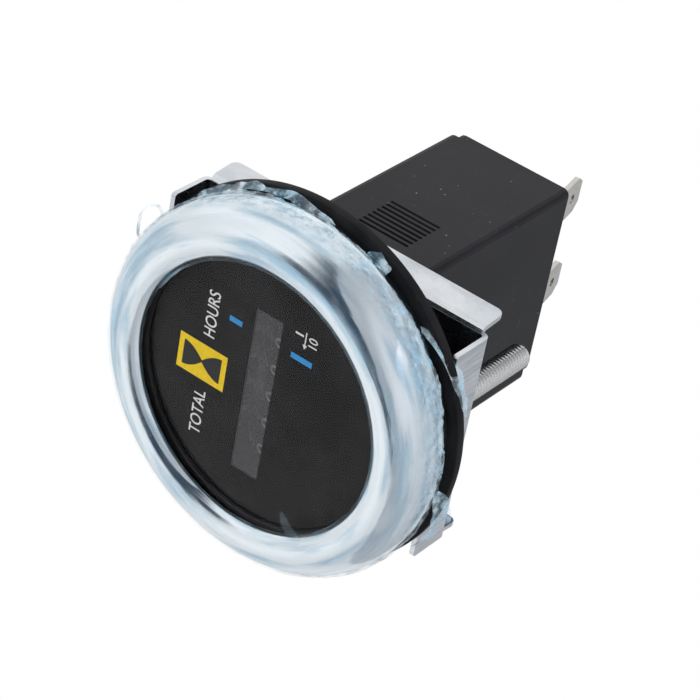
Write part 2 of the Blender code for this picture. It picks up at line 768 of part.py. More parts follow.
def build_bracket():
    """Base plate with a housing opening, legs bent forward and flanges bent back."""
    middle = BRACKET_SHEET / 2
    base = Frame.plate_rear - middle
    leg = LEG_SPREAD - middle
    flange = HOUSING_LENGTH_X / 2 + SEAT_GAP + middle
    flare = FLANGE_HEIGHT * math.tan(math.radians(FLANGE_FLARE))
    rear = Frame.plate_front + FLANGE_HEIGHT
    half_width = LEG_WIDTH / 2
    legs = folded_strip(
        [(SEAT_GAP, -leg), (base, -leg), (base, leg), (SEAT_GAP, leg)],
        rounded_end(half_width, Frame.plate_rear + CUT_PAST, SEAT_GAP, SHEET_CORNER / 2),
        ("X", "Z"),
        (-half_width - CUT_PAST, half_width + CUT_PAST),
        (-LEG_SPREAD - CUT_PAST, LEG_SPREAD + CUT_PAST),
    )
    half_length = FLANGE_LENGTH / 2
    crop = [(y, z) for z, y in rounded_end(half_length, Frame.plate_front - CUT_PAST, rear, SHEET_CORNER)]
    tip = rear + CUT_PAST
    flanges = folded_strip(
        [(-flange - flare, tip), (-flange, base), (flange, base), (flange + flare, tip)],
        crop,
        ("Z", "X"),
        (-half_length - CUT_PAST, half_length + CUT_PAST),
        (-LEG_SPREAD, LEG_SPREAD),
    )
    bracket = combine(flanges, legs, "UNION")
    half_x = HOUSING_LENGTH_X / 2 + SEAT_GAP
    half_z = HOUSING_LENGTH_Z / 2 + SEAT_GAP
    size = (2 * half_x, 3 * BRACKET_SHEET, 2 * half_z)
    combine(bracket, tool_box((0.0, base, 0.0), size), "DIFFERENCE")
    for side in (-1, 1):
        centre = (0.0, side * STUD_SPREAD)
        hole = tool_bore("Y", STUD_RADIUS + SEAT_GAP, centre, base - CUT_PAST, base + CUT_PAST)
        combine(bracket, hole, "DIFFERENCE")
    bracket.name = "bracket"
    bracket.location = (MOVEMENT_X, 0.0, MOVEMENT_Z)
    return bracket


def build_washer(name, side):
    """A spring lock washer: a square-section ring with one split."""
    bore = STUD_RADIUS + SEAT_GAP
    gap = math.asin(WASHER_SPLIT / 2 / WASHER_RADIUS)
    steps = 20
    turns = [gap + (2 * math.pi - 2 * gap) * i / steps for i in range(steps + 1)]
    outline = [(WASHER_RADIUS * math.cos(t), WASHER_RADIUS * math.sin(t)) for t in turns]
    outline += [(bore * math.cos(t), bore * math.sin(t)) for t in reversed(turns)]
    rear = Frame.washer_front + WASHER_SHEET
    washer = make_object(name, blank(outline, [], "Y", Frame.washer_front, rear), zinc())
    washer.location = (MOVEMENT_X, 0.0, MOVEMENT_Z + side * STUD_SPREAD)
    return washer


def build_nut(name, side):
    """A hexagon nut with chamfered corners."""
    corner = NUT_FLATS / math.sqrt(3)
    rear = Frame.nut_front + NUT_HEIGHT
    bore = circle(STUD_RADIUS + RUN_GAP, 20)
    nut = make_object(name, blank(circle(corner, 6), [bore], "Y", Frame.nut_front, rear), zinc())
    edge = corner - NUT_FLATS / 2
    profile = [
        (0.0, Frame.nut_front),
        (NUT_FLATS / 2, Frame.nut_front),
        (corner + edge / 4, Frame.nut_front + edge * 0.7),
        (corner + edge / 4, rear - edge * 0.7),
        (NUT_FLATS / 2, rear),
        (0.0, rear),
    ]
    combine(nut, make_object("tool", lathe(profile, 18), zinc()), "INTERSECT")
    nut.location = (MOVEMENT_X, 0.0, MOVEMENT_Z + side * STUD_SPREAD)
    return nut


# Counter

def wheel_place(index):
    """The centre of one number wheel, counted from the tenths wheel at the right."""
    x = MOVEMENT_X + ((WHEEL_COUNT - 1) / 2 - index) * WHEEL_PITCH
    return (x, Frame.wheel_y, MOVEMENT_Z)


def carry_outline():
    """The carry disc on a wheel's left side: a pair of teeth on a plain disc."""
    points = circle(CARRY_DISC_RADIUS, 20)
    step = 2 * math.pi / CARRY_WHEEL_TEETH
    start = math.radians(CARRY_ANGLE)
    turns = [start + step * i for i in (-0.75, -0.65, -0.35, -0.25, 0.25, 0.35, 0.65, 0.75)]
    radii = (CARRY_DISC_RADIUS, CARRY_TOOTH_RADIUS, CARRY_TOOTH_RADIUS, CARRY_DISC_RADIUS) * 2
    teeth = [(r * math.cos(t), r * math.sin(t)) for r, t in zip(radii, turns)]
    rest = [p for p in points if not turns[0] < math.atan2(p[1], p[0]) < turns[-1]]
    turn_of = {p: math.atan2(p[1], p[0]) for p in rest + teeth}
    return sorted(rest + teeth, key=lambda p: turn_of[p])


def build_wheel_mesh(name, gear_teeth, gear_module, gear_reach, place):
    """A number wheel: rim, carry disc on its left and a gear on its right."""
    half = WHEEL_RIM / 2
    sink = WHEEL_GEAR_FACE
    rim = circle(WHEEL_RADIUS, WHEEL_SEGMENTS)
    wheel = make_object(name, blank(rim, [], "X", -half, half), wheel_black())
    left = blank(carry_outline(), [], "X", -half - WHEEL_GEAR_FACE, -half + sink)
    combine(wheel, make_object("tool", left, wheel_black()), "UNION")
    right = blank(gear_outline(gear_teeth, gear_module), [], "X", gear_reach[0], gear_reach[1])
    combine(wheel, make_object("tool", right, wheel_black()), "UNION")
    bore = tool_bore("X", SHAFT_RADIUS + RUN_GAP, (0.0, 0.0), -WHEEL_PITCH, WHEEL_PITCH, 12)
    combine(wheel, bore, "DIFFERENCE")
    wheel.location = place
    return wheel


def build_counter():
    """Six number wheels on one shaft, with five transfer pinions above them."""
    half = WHEEL_RIM / 2
    output = drive_plane()
    centre = wheel_place(0)[0]
    reach = (half - WHEEL_GEAR_FACE, output + DRIVE_GEAR_FACE / 2 - centre)
    build_output_wheel(reach, output - centre)
    second = build_wheel_mesh(
        "number_wheel_2", CARRY_WHEEL_TEETH, CARRY_MODULE, (half - WHEEL_GEAR_FACE, half + WHEEL_GEAR_FACE),
        wheel_place(1),
    )
    for index in range(2, WHEEL_COUNT):
        share_mesh(f"number_wheel_{index + 1}", second, wheel_place(index))
    build_rod("wheel_shaft", SHAFT_RADIUS, Frame.wheel_y, MOVEMENT_Z)
    pinion = None
    for index in range(WHEEL_COUNT - 1):
        x = (wheel_place(index)[0] + wheel_place(index + 1)[0]) / 2
        place = (x, Frame.wheel_y, MOVEMENT_Z + Frame.pinion_z)
        name = f"transfer_pinion_{index + 1}"
        pinion = share_mesh(name, pinion, place) if pinion else build_pinion(name, place)
    build_rod("pinion_shaft", PIN_RADIUS, Frame.wheel_y, MOVEMENT_Z + Frame.pinion_z)


def drive_plane():
    """The X of the drive gears' middle plane, just inside the frame's right plate."""
    inner = MOVEMENT_X + Frame.frame_half - FRAME_SHEET
    return inner - SEAT_GAP - DRIVE_GEAR_FACE / 2


def build_output_wheel(reach, plane):
    """The tenths wheel, with a neck that carries the drive gear at its right."""
    half = WHEEL_RIM / 2
    place = wheel_place(0)
    rim = circle(WHEEL_RADIUS, WHEEL_SEGMENTS)
    wheel = make_object("number_wheel_1", blank(rim, [], "X", -half, half), wheel_black())
    left = blank(carry_outline(), [], "X", -half - WHEEL_GEAR_FACE, -half + WHEEL_GEAR_FACE)
    combine(wheel, make_object("tool", left, wheel_black()), "UNION")
    neck = blank(circle(2 * SHAFT_RADIUS, 16), [], "X", reach[0], plane)
    combine(wheel, make_object("tool", neck, wheel_black()), "UNION")
    low = plane - DRIVE_GEAR_FACE / 2
    gear = blank(gear_outline(OUTPUT_TEETH, DRIVE_MODULE), [], "X", low, low + DRIVE_GEAR_FACE)
    combine(wheel, make_object("tool", gear, wheel_black()), "UNION")
    bore = tool_bore("X", SHAFT_RADIUS + RUN_GAP, (0.0, 0.0), -WHEEL_PITCH, WHEEL_PITCH, 12)
    combine(wheel, bore, "DIFFERENCE")
    wheel.location = place
    return wheel


def build_pinion(name, place):
    width = WHEEL_PITCH - WHEEL_RIM - 2 * SEAT_GAP
    phase = -math.pi / 2 + math.pi / CARRY_PINION_TEETH
    outline = gear_outline(CARRY_PINION_TEETH, CARRY_MODULE, phase)
    bore = circle(PIN_RADIUS + RUN_GAP, 10)
    pinion = make_object(name, blank(outline, [bore], "X", -width / 2, width / 2), gear_plastic())
    pinion.location = place
    return pinion


def build_rod(name, radius, y, z):
    """A plain shaft between the frame's two side plates."""
    half = Frame.frame_half
    rod = make_object(name, blank(circle(radius, 12), [], "X", -half, half), steel())
    rod.location = (MOVEMENT_X, y, z)
    return rod


# Drive train

def build_geared_arbor(name, y, start, gears, finish):
    """An arbor in the right side plate, from a starting place leftmost, that carries gears."""
    arbor = make_object(name, blank(circle(PIN_RADIUS, 12), [], "X", start, Frame.frame_half), finish)
    for outline, low, high in gears:
        tool = make_object("tool", blank(outline, [], "X", low, high), finish)
        combine(arbor, tool, "UNION")
    arbor.location = (MOVEMENT_X, y, MOVEMENT_Z)
    return arbor


def build_drive_train():
    """Idler and reduction gear between the rotor and the tenths wheel, teeth set into gaps."""
    low = drive_plane() - MOVEMENT_X - DRIVE_GEAR_FACE / 2
    high = low + DRIVE_GEAR_FACE
    full = -Frame.frame_half
    idler = gear_outline(IDLER_TEETH, DRIVE_MODULE, math.pi + math.pi / IDLER_TEETH)
    build_geared_arbor("idler_gear", Frame.idler_y, low, [(idler, low, high)], gear_plastic())
    fast_high = low - 2 * SEAT_GAP
    fast_low = fast_high - DRIVE_GEAR_FACE
    pinion = gear_outline(DRIVE_PINION_TEETH, DRIVE_MODULE, math.pi)
    wheel = gear_outline(REDUCTION_TEETH, FAST_MODULE)
    gears = [(pinion, fast_high - SEAT_GAP, high), (wheel, fast_low, fast_high)]
    build_geared_arbor("reduction_gear", Frame.reduction_y, full, gears, gear_plastic())
    small = gear_outline(ROTOR_PINION_TEETH, FAST_MODULE, math.pi + math.pi / ROTOR_PINION_TEETH)
    rotor_low = ROTOR_X - ROTOR_LENGTH / 2
    gears = [(small, fast_low, fast_high)]
    gears.append((circle(ROTOR_RADIUS, 28), rotor_low, rotor_low + ROTOR_LENGTH))
    build_geared_arbor("rotor", Frame.rotor_y, full, gears, steel())


def build_stator():
    """A flat stator with a round air gap for the rotor and a rear limb for the coil."""
    front = Frame.rotor_y - ROTOR_RADIUS - STATOR_AIR - STATOR_LIMB / 2
    half = FRAME_FLOOR - SEAT_GAP
    middle = (front + STATOR_REAR) / 2
    outline = rectangle((STATOR_REAR - front) / 2, half, (middle, 0.0))
    air = circle(ROTOR_RADIUS + STATOR_AIR, 28, (Frame.rotor_y, 0.0))
    window_front = Frame.rotor_y + ROTOR_RADIUS + STATOR_AIR + STATOR_LIMB / 2
    window_rear = STATOR_REAR - STATOR_LIMB
    side = COIL_LENGTH / 2 + SEAT_GAP
    window = rectangle((window_rear - window_front) / 2, side, ((window_front + window_rear) / 2, 0.0))
    low = ROTOR_X - STATOR_SHEET / 2
    stator = make_object("stator", blank(outline, [air, window], "X", low, low + STATOR_SHEET), steel())
    stator.location = (MOVEMENT_X, 0.0, MOVEMENT_Z)
    return stator


def coil_frame(half_x, half_y, inner_x, inner_y, low, high, finish, name):
    centre = (MOVEMENT_X + ROTOR_X, STATOR_REAR - STATOR_LIMB / 2)
    outside = round_rectangle(half_x, half_y, BOBBIN_WALL, centre)
    inside = rectangle(inner_x, inner_y, centre)
    return make_object(name, blank(outside, [inside], "Z", low, high), finish)


def build_coil():
    """A bobbin on the stator's rear limb, with the winding between its flanges."""
    bore_x = STATOR_SHEET / 2 + RUN_GAP
    bore_y = STATOR_LIMB / 2 + RUN_GAP
    core_x = bore_x + BOBBIN_WALL
    core_y = bore_y + BOBBIN_WALL
    half_x = COIL_THICK / 2
    half_y = COIL_DEPTH / 2
    low = MOVEMENT_Z - COIL_LENGTH / 2
    high = MOVEMENT_Z + COIL_LENGTH / 2
    bobbin = coil_frame(core_x, core_y, bore_x, bore_y, low, high, gear_plastic(), "coil_bobbin")
    for start in (low, high - BOBBIN_WALL):
        end = start + BOBBIN_WALL
        flange = coil_frame(half_x, half_y, bore_x, bore_y, start, end, gear_plastic(), "tool")
        combine(bobbin, flange, "UNION")
    inner_x = core_x + RUN_GAP
    inner_y = core_y + RUN_GAP
    start = low + BOBBIN_WALL + RUN_GAP
    end = high - BOBBIN_WALL - RUN_GAP
    trim = 2 * RUN_GAP
    coil_frame(half_x - trim, half_y - trim, inner_x, inner_y, start, end, copper(), "coil_winding")


def build_movement_frame():
    """A folded frame: a floor and two side plates, with bearing holes for the shafts and arbors."""
    half = Frame.frame_half - FRAME_SHEET / 2
    floor = -FRAME_FLOOR - FRAME_SHEET / 2
    corners = [(-half, FRAME_TOP), (-half, floor), (half, floor), (half, FRAME_TOP)]
    outline = thicken(fillet_path(corners, FRAME_SHEET, 2), FRAME_SHEET)
    front = Frame.dial_rear + SEAT_GAP
    frame = make_object("movement_frame", blank(outline, [], "Y", front, FRAME_REAR), zinc())
    length = FRAME_FLOOR_FRONT - front + CUT_PAST
    size = (2 * Frame.frame_half, length, 3 * CUT_PAST)
    trim = tool_box((0.0, FRAME_FLOOR_FRONT - length / 2, floor), size)
    combine(frame, trim, "DIFFERENCE")
    step = Frame.rotor_y + 2 * ROTOR_RADIUS
    length = FRAME_REAR + CUT_PAST - step
    size = (3 * Frame.frame_half, length, 2 * (FRAME_TOP - FRAME_STEP))
    roof = tool_box((0.0, step + length / 2, FRAME_TOP), size)
    combine(frame, roof, "DIFFERENCE")
    bearings = [
        (SHAFT_RADIUS, Frame.wheel_y, 0.0),
        (PIN_RADIUS, Frame.wheel_y, Frame.pinion_z),
        (PIN_RADIUS, Frame.idler_y, 0.0),
        (PIN_RADIUS, Frame.reduction_y, 0.0),
        (PIN_RADIUS, Frame.rotor_y, 0.0),
    ]
    for radius, y, z in bearings:
        hole = tool_bore("X", radius + RUN_GAP, (y, z), -HOUSING_LENGTH_X, HOUSING_LENGTH_X, 12)
        combine(frame, hole, "DIFFERENCE")
    frame.location = (MOVEMENT_X, 0.0, MOVEMENT_Z)
    return frame


# Circuit

def build_circuit():
    """The board behind the movement, notched for the terminal tails, with its main parts."""
    half_x = HOUSING_LENGTH_X / 2 - HOUSING_WALL - FRAME_PLAY
    half_z = HOUSING_LENGTH_Z / 2 - HOUSING_WALL - FRAME_PLAY
    centre = (MOVEMENT_X, MOVEMENT_Z)
    outline = rectangle(half_x, half_z, centre)
    sheet = blank(outline, [], "Y", Frame.board_front, Frame.board_rear)
    board = make_object("circuit_board", sheet, board_green())
    for x in BLADE_X:
        size = (TAIL_WIDTH + 2 * SEAT_GAP, 3 * BOARD_SHEET, BOARD_NOTCH)
        place = (MOVEMENT_X + x, Frame.board_front + BOARD_SHEET / 2, MOVEMENT_Z + BLADE_Z)
        combine(board, tool_box(place, size), "DIFFERENCE")
    front = Frame.board_front - SEAT_GAP
    middle = (MOVEMENT_X + PART_X, MOVEMENT_Z)
    outline = rectangle(CHIP_LENGTH / 2, CHIP_WIDTH / 2, middle)
    make_object("control_chip", blank(outline, [], "Y", front - CHIP_HEIGHT, front), black_plastic())
    outline = circle(CAPACITOR_RADIUS, 20, (middle[0], middle[1] - PART_SPREAD))
    make_object("capacitor", blank(outline, [], "Y", front - CAPACITOR_HEIGHT, front), steel())
    outline = circle(CRYSTAL_RADIUS, 16, (middle[0], middle[1] + PART_SPREAD))
    make_object("timing_crystal", blank(outline, [], "Y", front - CRYSTAL_HEIGHT, front), tin())


def clear_scene():
    for old in list(bpy.data.objects):
        bpy.data.objects.remove(old)


def main():
    clear_scene()
    build_bezel()
    build_film()
    build_lens()
    build_spacer_ring()
    build_dial_plate()
    build_gasket()
    build_case()
    build_rear_cover()
    for number, x in enumerate(BLADE_X, 1):
        build_terminal(f"terminal_{number}", x)
    build_bracket()
    for word, side in (("upper", 1), ("lower", -1)):
        build_stud(f"stud_{word}", side)
        build_washer(f"lock_washer_{word}", side)
        build_nut(f"nut_{word}", side)
    build_counter()
    build_drive_train()
    build_stator()
    build_coil()
    build_movement_frame()
    build_circuit()


main()
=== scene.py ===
"""Looks of the panel hour meter: fine turned surfaces, torn film, print, thread and every finish.

All lengths are metres in the shared frame: X right along the dial, Y back, Z up the dial.
"""

import logging
import math
from dataclasses import dataclass
from enum import Enum
from typing import Callable, Iterable, Mapping, Sequence

import bmesh
import bpy
from mathutils import Matrix, Vector, noise


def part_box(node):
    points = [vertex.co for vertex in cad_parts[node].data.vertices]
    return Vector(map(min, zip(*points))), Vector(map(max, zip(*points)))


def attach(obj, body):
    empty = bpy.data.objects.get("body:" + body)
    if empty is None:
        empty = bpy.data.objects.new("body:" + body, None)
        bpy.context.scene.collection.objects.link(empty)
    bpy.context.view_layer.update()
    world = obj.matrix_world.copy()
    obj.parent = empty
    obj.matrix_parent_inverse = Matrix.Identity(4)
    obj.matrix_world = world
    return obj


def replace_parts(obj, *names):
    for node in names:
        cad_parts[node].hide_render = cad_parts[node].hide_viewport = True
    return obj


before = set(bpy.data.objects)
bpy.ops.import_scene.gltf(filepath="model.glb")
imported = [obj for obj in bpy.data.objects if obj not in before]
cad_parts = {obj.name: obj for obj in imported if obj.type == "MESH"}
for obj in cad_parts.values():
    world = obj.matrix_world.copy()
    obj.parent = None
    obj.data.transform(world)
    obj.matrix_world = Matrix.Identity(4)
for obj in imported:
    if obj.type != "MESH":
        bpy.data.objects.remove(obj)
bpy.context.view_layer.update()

logging.basicConfig(level=logging.INFO, format="%(name)s: %(message)s")
log = logging.getLogger("hour_meter")

MM = 0.001
TAU = 2.0 * math.pi
Pair = tuple[float, float]
Triple = tuple[float, float, float]
Area = tuple[float, float, float, float]
SECTION_CENTRE: Pair = (24.6 * MM, -6.9 * MM)
SAME_POINT = 1e-7
NOISE_SEED = 1796089855
DUST_COLOUR: Triple = (0.42, 0.43, 0.44)


class Body(str, Enum):
    """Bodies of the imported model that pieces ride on."""

    METER = "meter"


class Slot(str, Enum):
    """Material slots named in the record."""

    CHROME = "polished_chrome"
    FILM = "blue_film"
    LENS = "clear_lens"
    BLACK = "black_plastic"
    DIAL = "dial_black"
    SPACER = "grey_spacer"
    RUBBER = "gasket_rubber"
    ZINC = "zinc_plate"
    STEEL = "plated_steel"
    TIN = "tinned_brass"
    WHEEL = "wheel_black"
    GEAR = "white_gear_plastic"
    COPPER = "copper_winding"
    BOARD = "board_green"


# Node graphs


class Sock:
    """A value in a node graph that can be used in arithmetic."""

    def __init__(self, graph: "Graph", socket: bpy.types.NodeSocket) -> None:
        """Wraps an output socket of a graph."""
        self.graph = graph
        self.socket = socket

    def math(self, operation: str, *others: "Sock | float") -> "Sock":
        """A Math node's result, with this value as its first input."""
        return self.graph.math(operation, self, *others)

    def __add__(self, other: "Sock | float") -> "Sock":
        """The sum."""
        return self.math("ADD", other)

    def __sub__(self, other: "Sock | float") -> "Sock":
        """The difference."""
        return self.math("SUBTRACT", other)

    def __rsub__(self, other: float) -> "Sock":
        """The difference from a number."""
        return self.graph.math("SUBTRACT", other, self)

    def __mul__(self, other: "Sock | float") -> "Sock":
        """The product."""
        return self.math("MULTIPLY", other)

    def __truediv__(self, other: "Sock | float") -> "Sock":
        """The quotient."""
        return self.math("DIVIDE", other)

    def __rtruediv__(self, other: float) -> "Sock":
        """A number divided by this value."""
        return self.graph.math("DIVIDE", other, self)

    def __pow__(self, other: "Sock | float") -> "Sock":
        """The power."""
        return self.math("POWER", other)

    __radd__ = __add__
    __rmul__ = __mul__

    def above(self, low: float, high: float, floor: float = 0.0, top: float = 1.0) -> "Sock":
        """Maps low to high smoothly onto floor to top, clamped.

        Args:
            low: the value that gives floor.
            high: the value that gives top; it may be the smaller one.
            floor: the result at low.
            top: the result at high.

        Returns:
            The mapped value.
        """
        node = self.graph.add(
            "ShaderNodeMapRange",
            {"interpolation_type": "SMOOTHSTEP"},
            {"Value": self, "From Min": low, "From Max": high, "To Min": floor, "To Max": top},
        )
        return Sock(self.graph, node.outputs["Result"])


class Graph:
    """A node tree with short ways to add nodes."""

    MIX_SHARE, MIX_LOW, MIX_HIGH, MIX_RESULT = 0, 6, 7, 2

    def __init__(self, tree: bpy.types.NodeTree) -> None:
        """Starts from an emptied tree."""
        self.tree = tree
        self.tree.nodes.clear()

    def add(self, kind: str, settings: Mapping[str, object] | None = None,
            sockets: Mapping[str | int, object] | None = None) -> bpy.types.Node:
        """Adds a node of any type.

        Args:
            kind: the node's type.
            settings: its properties, which are set first.
            sockets: values or links of its inputs, by name or place.

        Returns:
            The node.
        """
        node = self.tree.nodes.new(kind)
        for name, value in (settings or {}).items():
            setattr(node, name, value)
        for name, value in (sockets or {}).items():
            self.feed(node.inputs[name], value)
        return node

    def feed(self, target: bpy.types.NodeSocket, value: object) -> None:
        """Sets an input to a number or colour, or links it.

        Args:
            target: the input.
            value: a number, a colour, a wrapped value or an output socket.
        """
        if isinstance(value, Sock):
            self.tree.links.new(value.socket, target)
        elif isinstance(value, bpy.types.NodeSocket):
            self.tree.links.new(value, target)
        elif isinstance(value, (tuple, list)) and target.type == "RGBA":
            target.default_value = (*value[:3], 1.0)
        else:
            target.default_value = value

    def math(self, operation: str, *values: Sock | float) -> Sock:
        """A Math node's result from its inputs in order."""
        node = self.add("ShaderNodeMath", {"operation": operation}, dict(enumerate(values)))
        return Sock(self, node.outputs[0])

    def parts(self, vector: bpy.types.NodeSocket) -> tuple[Sock, Sock, Sock]:
        """The three values of a vector."""
        node = self.add("ShaderNodeSeparateXYZ", sockets={0: vector})
        return tuple(Sock(self, output) for output in node.outputs)

    def split(self) -> tuple[Sock, Sock, Sock]:
        """Object coordinates in metres as three values."""
        return self.parts(self.add("ShaderNodeTexCoord").outputs["Object"])

    def join(self, x: Sock | float, y: Sock | float, z: Sock | float) -> bpy.types.NodeSocket:
        """Three values as one vector."""
        return self.add("ShaderNodeCombineXYZ", sockets={0: x, 1: y, 2: z}).outputs[0]

    def noise(self, scale: float, detail: float = 3.0, rough: float = 0.55,
              stretch: Triple = (1.0, 1.0, 1.0), at: bpy.types.NodeSocket | None = None) -> Sock:
        """A noise value.

        Args:
            scale: cycles a metre along a direction of stretch 1.
            detail: octaves.
            rough: share kept by each finer octave.
            stretch: factors on the three axes.
            at: the vector it is read at; object coordinates unless given.

        Returns:
            The noise, from 0 to 1.
        """
        if at is None:
            x, y, z = self.split()
            at = self.join(x * stretch[0], y * stretch[1], z * stretch[2])
        node = self.add(
            "ShaderNodeTexNoise",
            sockets={"Vector": at, "Scale": scale, "Detail": detail, "Roughness": rough},
        )
        return Sock(self, node.outputs["Fac"])

    def round_section(self) -> Sock:
        """The turn round the bezel's section: 0 at the crest, -0.6 at the lip, 2.6 at the rear edge."""
        x, y, z = self.split()
        radius = (x * x + z * z) ** 0.5
        return self.math("ARCTAN2", radius - SECTION_CENTRE[0], SECTION_CENTRE[1] - y)

    def streaks(self, around: float, across: float, detail: float = 2.0) -> Sock:
        """Noise drawn out round the bezel.

        Args:
            around: cycles a radian round the bezel.
            across: cycles a radian across its section.
            detail: octaves.

        Returns:
            The noise, from 0 to 1.
        """
        x, _, z = self.split()
        radius = (x * x + z * z) ** 0.5
        at = self.join(x / radius * around, z / radius * around, self.round_section() * across)
        return self.noise(1.0, detail, 0.5, at=at)

    def cells(self, scale: float, output: str = "Distance") -> Sock:
        """An output of Voronoi cells on object coordinates, with a number of cells a metre."""
        coords = self.add("ShaderNodeTexCoord").outputs["Object"]
        node = self.add("ShaderNodeTexVoronoi", {"feature": "F1"}, {"Vector": coords, "Scale": scale})
        return Sock(self, node.outputs[output])

    def blend(self, share: Sock | float, low: object, high: object) -> bpy.types.NodeSocket:
        """The colour at a share of the way from one colour to another."""
        sockets = {self.MIX_SHARE: share, self.MIX_LOW: low, self.MIX_HIGH: high}
        return self.add("ShaderNodeMix", {"data_type": "RGBA"}, sockets).outputs[self.MIX_RESULT]

    def bump(self, height: Sock, strength: float, depth: float) -> bpy.types.NodeSocket:
        """A normal from a height between 0 and 1 that stands for a depth in metres."""
        sockets = {"Strength": strength, "Distance": depth, "Height": height}
        return self.add("ShaderNodeBump", sockets=sockets).outputs["Normal"]

    def principled(self, **inputs: object) -> bpy.types.NodeSocket:
        """The Principled shader, its inputs named with underscores for spaces."""
        sockets = {name.replace("_", " "): value for name, value in inputs.items()}
        return self.add("ShaderNodeBsdfPrincipled", sockets=sockets).outputs[0]


# Finishes


@dataclass(frozen=True)
class Finish:
    """A named surface finish; a subclass draws its nodes."""

    name: str
    colour: Triple = (0.5, 0.5, 0.5)
    roughness: float = 0.4

    def draw(self, graph: Graph) -> bpy.types.NodeSocket:
        """Adds the finish's nodes and returns its shader."""
        raise NotImplementedError

    def material(self) -> bpy.types.Material:
        """The finish's material, made when it is first asked for.

        Returns:
            The Blender material.
        """
        found = bpy.data.materials.get(self.name)
        if found:
            return found
        made = bpy.data.materials.new(self.name)
        made.use_nodes = True
        graph = Graph(made.node_tree)
        graph.add("ShaderNodeOutputMaterial", sockets={"Surface": self.draw(graph)})
        return made


@dataclass(frozen=True)
class Chrome(Finish):
    """Polished plate whose reflections waver under the film that clings to it."""

    # Darker blue that the streaks blend toward: painted reflection bands, not a colour of the plate itself.
    shade: Triple = (0.50, 0.64, 0.75)
    ripple: float = 0.22 * MM

    def draw(self, graph: Graph) -> bpy.types.NodeSocket:
        """Streaks of two widths round the ring, smears in its roughness, and painted reflection bands in its
        colour.
        """
        streak = graph.streaks(1.6, 2.4, 3.0)
        thread = graph.streaks(5.0, 9.0)
        smear = graph.noise(170.0, 3.0, 0.6)
        # Painted reflection: the colour darkens in streaks round the ring so that the reflections look
        # banded.
        tone = graph.blend(streak.above(0.40, 0.66), self.colour, self.shade)
        rough = smear.above(0.40, 0.75, self.roughness, self.roughness + 0.10) + thread * 0.06
        normal = graph.bump(streak * 0.7 + thread * 0.3, 0.35, self.ripple)
        return graph.principled(Base_Color=tone, Metallic=1.0, Roughness=rough, Normal=normal)


@dataclass(frozen=True)
class ClingFilm(Finish):
    """Thin blue-white plastic film: clear in front with milky streaks, crumpled and whiter at the rear."""

    clear: float = 0.03
    milky: float = 0.66
    tint: Triple = (0.42, 0.68, 0.84)
    crumple: float = 0.22 * MM

    def draw(self, graph: Graph) -> bpy.types.NodeSocket:
        """Milky streaks in front and creases toward the rear edge set how much shows through."""
        rear = graph.round_section().above(0.9, 1.9)
        streak = graph.streaks(1.5, 2.2, 3.0)
        thread = graph.streaks(5.5, 10.0, 3.0)
        crease = graph.noise(520.0, 4.0, 0.62)
        front_share = streak.above(0.52, 0.78, 0.0, 0.30) + thread.above(0.62, 0.80, 0.0, 0.12)
        share = (front_share + rear * crease.above(0.40, 0.68, 0.05, 0.75)).math("MINIMUM", 1.0)
        return graph.principled(
            Base_Color=graph.blend(thread.above(0.35, 0.65), self.tint, self.colour),
            Roughness=thread * 0.12 + self.roughness,
            Alpha=share * (self.milky - self.clear) + self.clear,
            Normal=graph.bump(crease * rear + thread * 0.2, 0.55, self.crumple),
        )


@dataclass(frozen=True)
class ClearSheet(Finish):
    """Clear plastic: a glossy surface over a clear body, with a little dust."""

    haze: float = 0.004
    tint: Triple = (1.0, 1.0, 1.0)
    gloss_index: float = 1.2

    def draw(self, graph: Graph) -> bpy.types.NodeSocket:
        """A share of gloss over a clear body; the share grows with haze, dust, scratches and a low angle."""
        dust = graph.cells(900.0).above(0.10, 0.02) * graph.noise(160.0).above(0.54, 0.62)
        scratch = graph.noise(420.0, 3.0, 0.6, (0.2, 1.0, 1.0)).above(0.52, 0.80, 0.0, self.haze * 0.5)
        edge = Sock(graph, graph.add("ShaderNodeFresnel", sockets={"IOR": self.gloss_index}).outputs[0])
        share = (edge + dust * 0.12 + scratch + self.haze).math("MINIMUM", 1.0)
        clear = graph.add("ShaderNodeBsdfTransparent", sockets={"Color": self.tint}).outputs[0]
        gloss = graph.principled(Base_Color=self.colour, Roughness=self.roughness, Metallic=self.mirror)
        return graph.add("ShaderNodeMixShader", sockets={0: share, 1: clear, 2: gloss}).outputs[0]

    @property
    def mirror(self) -> float:
        """Metallic share of the surface's own shader: hazy sheets scatter, clear ones only reflect."""
        return 0.0 if self.haze > 0.1 else 1.0


@dataclass(frozen=True)
class Moulded(Finish):
    """Moulded plastic with a fine spark texture, worn sheen and dust specks."""

    grain: float = 2600.0
    dust: float = 0.5
    sheen: float = 0.22
    relief: float = 0.35
    spark_depth: float = 0.05 * MM

    def draw(self, graph: Graph) -> bpy.types.NodeSocket:
        """Worn patches, dust specks and scuffs over the moulded grain."""
        spark = graph.noise(self.grain, 3.0, 0.6)
        patch = graph.noise(90.0, 4.0, 0.6)
        speck = graph.cells(420.0).above(0.085, 0.03) * graph.noise(75.0).above(0.47, 0.60)
        scuff = graph.noise(900.0, 3.0, 0.6, (0.12, 1.0, 1.0)).above(0.66, 0.74, 0.0, 0.25)
        worn = tuple(min(1.0, channel * 1.5 + 0.006) for channel in self.colour)
        tone = graph.blend(patch.above(0.3, 0.75), self.colour, worn)
        return graph.principled(
            Base_Color=graph.blend(speck * self.dust + scuff * self.dust * 0.3, tone, DUST_COLOUR),
            Roughness=patch * 0.14 + spark * 0.10 + (self.roughness - 0.12),
            Normal=graph.bump(spark, self.relief, self.spark_depth),
            Specular_IOR_Level=self.sheen,
        )


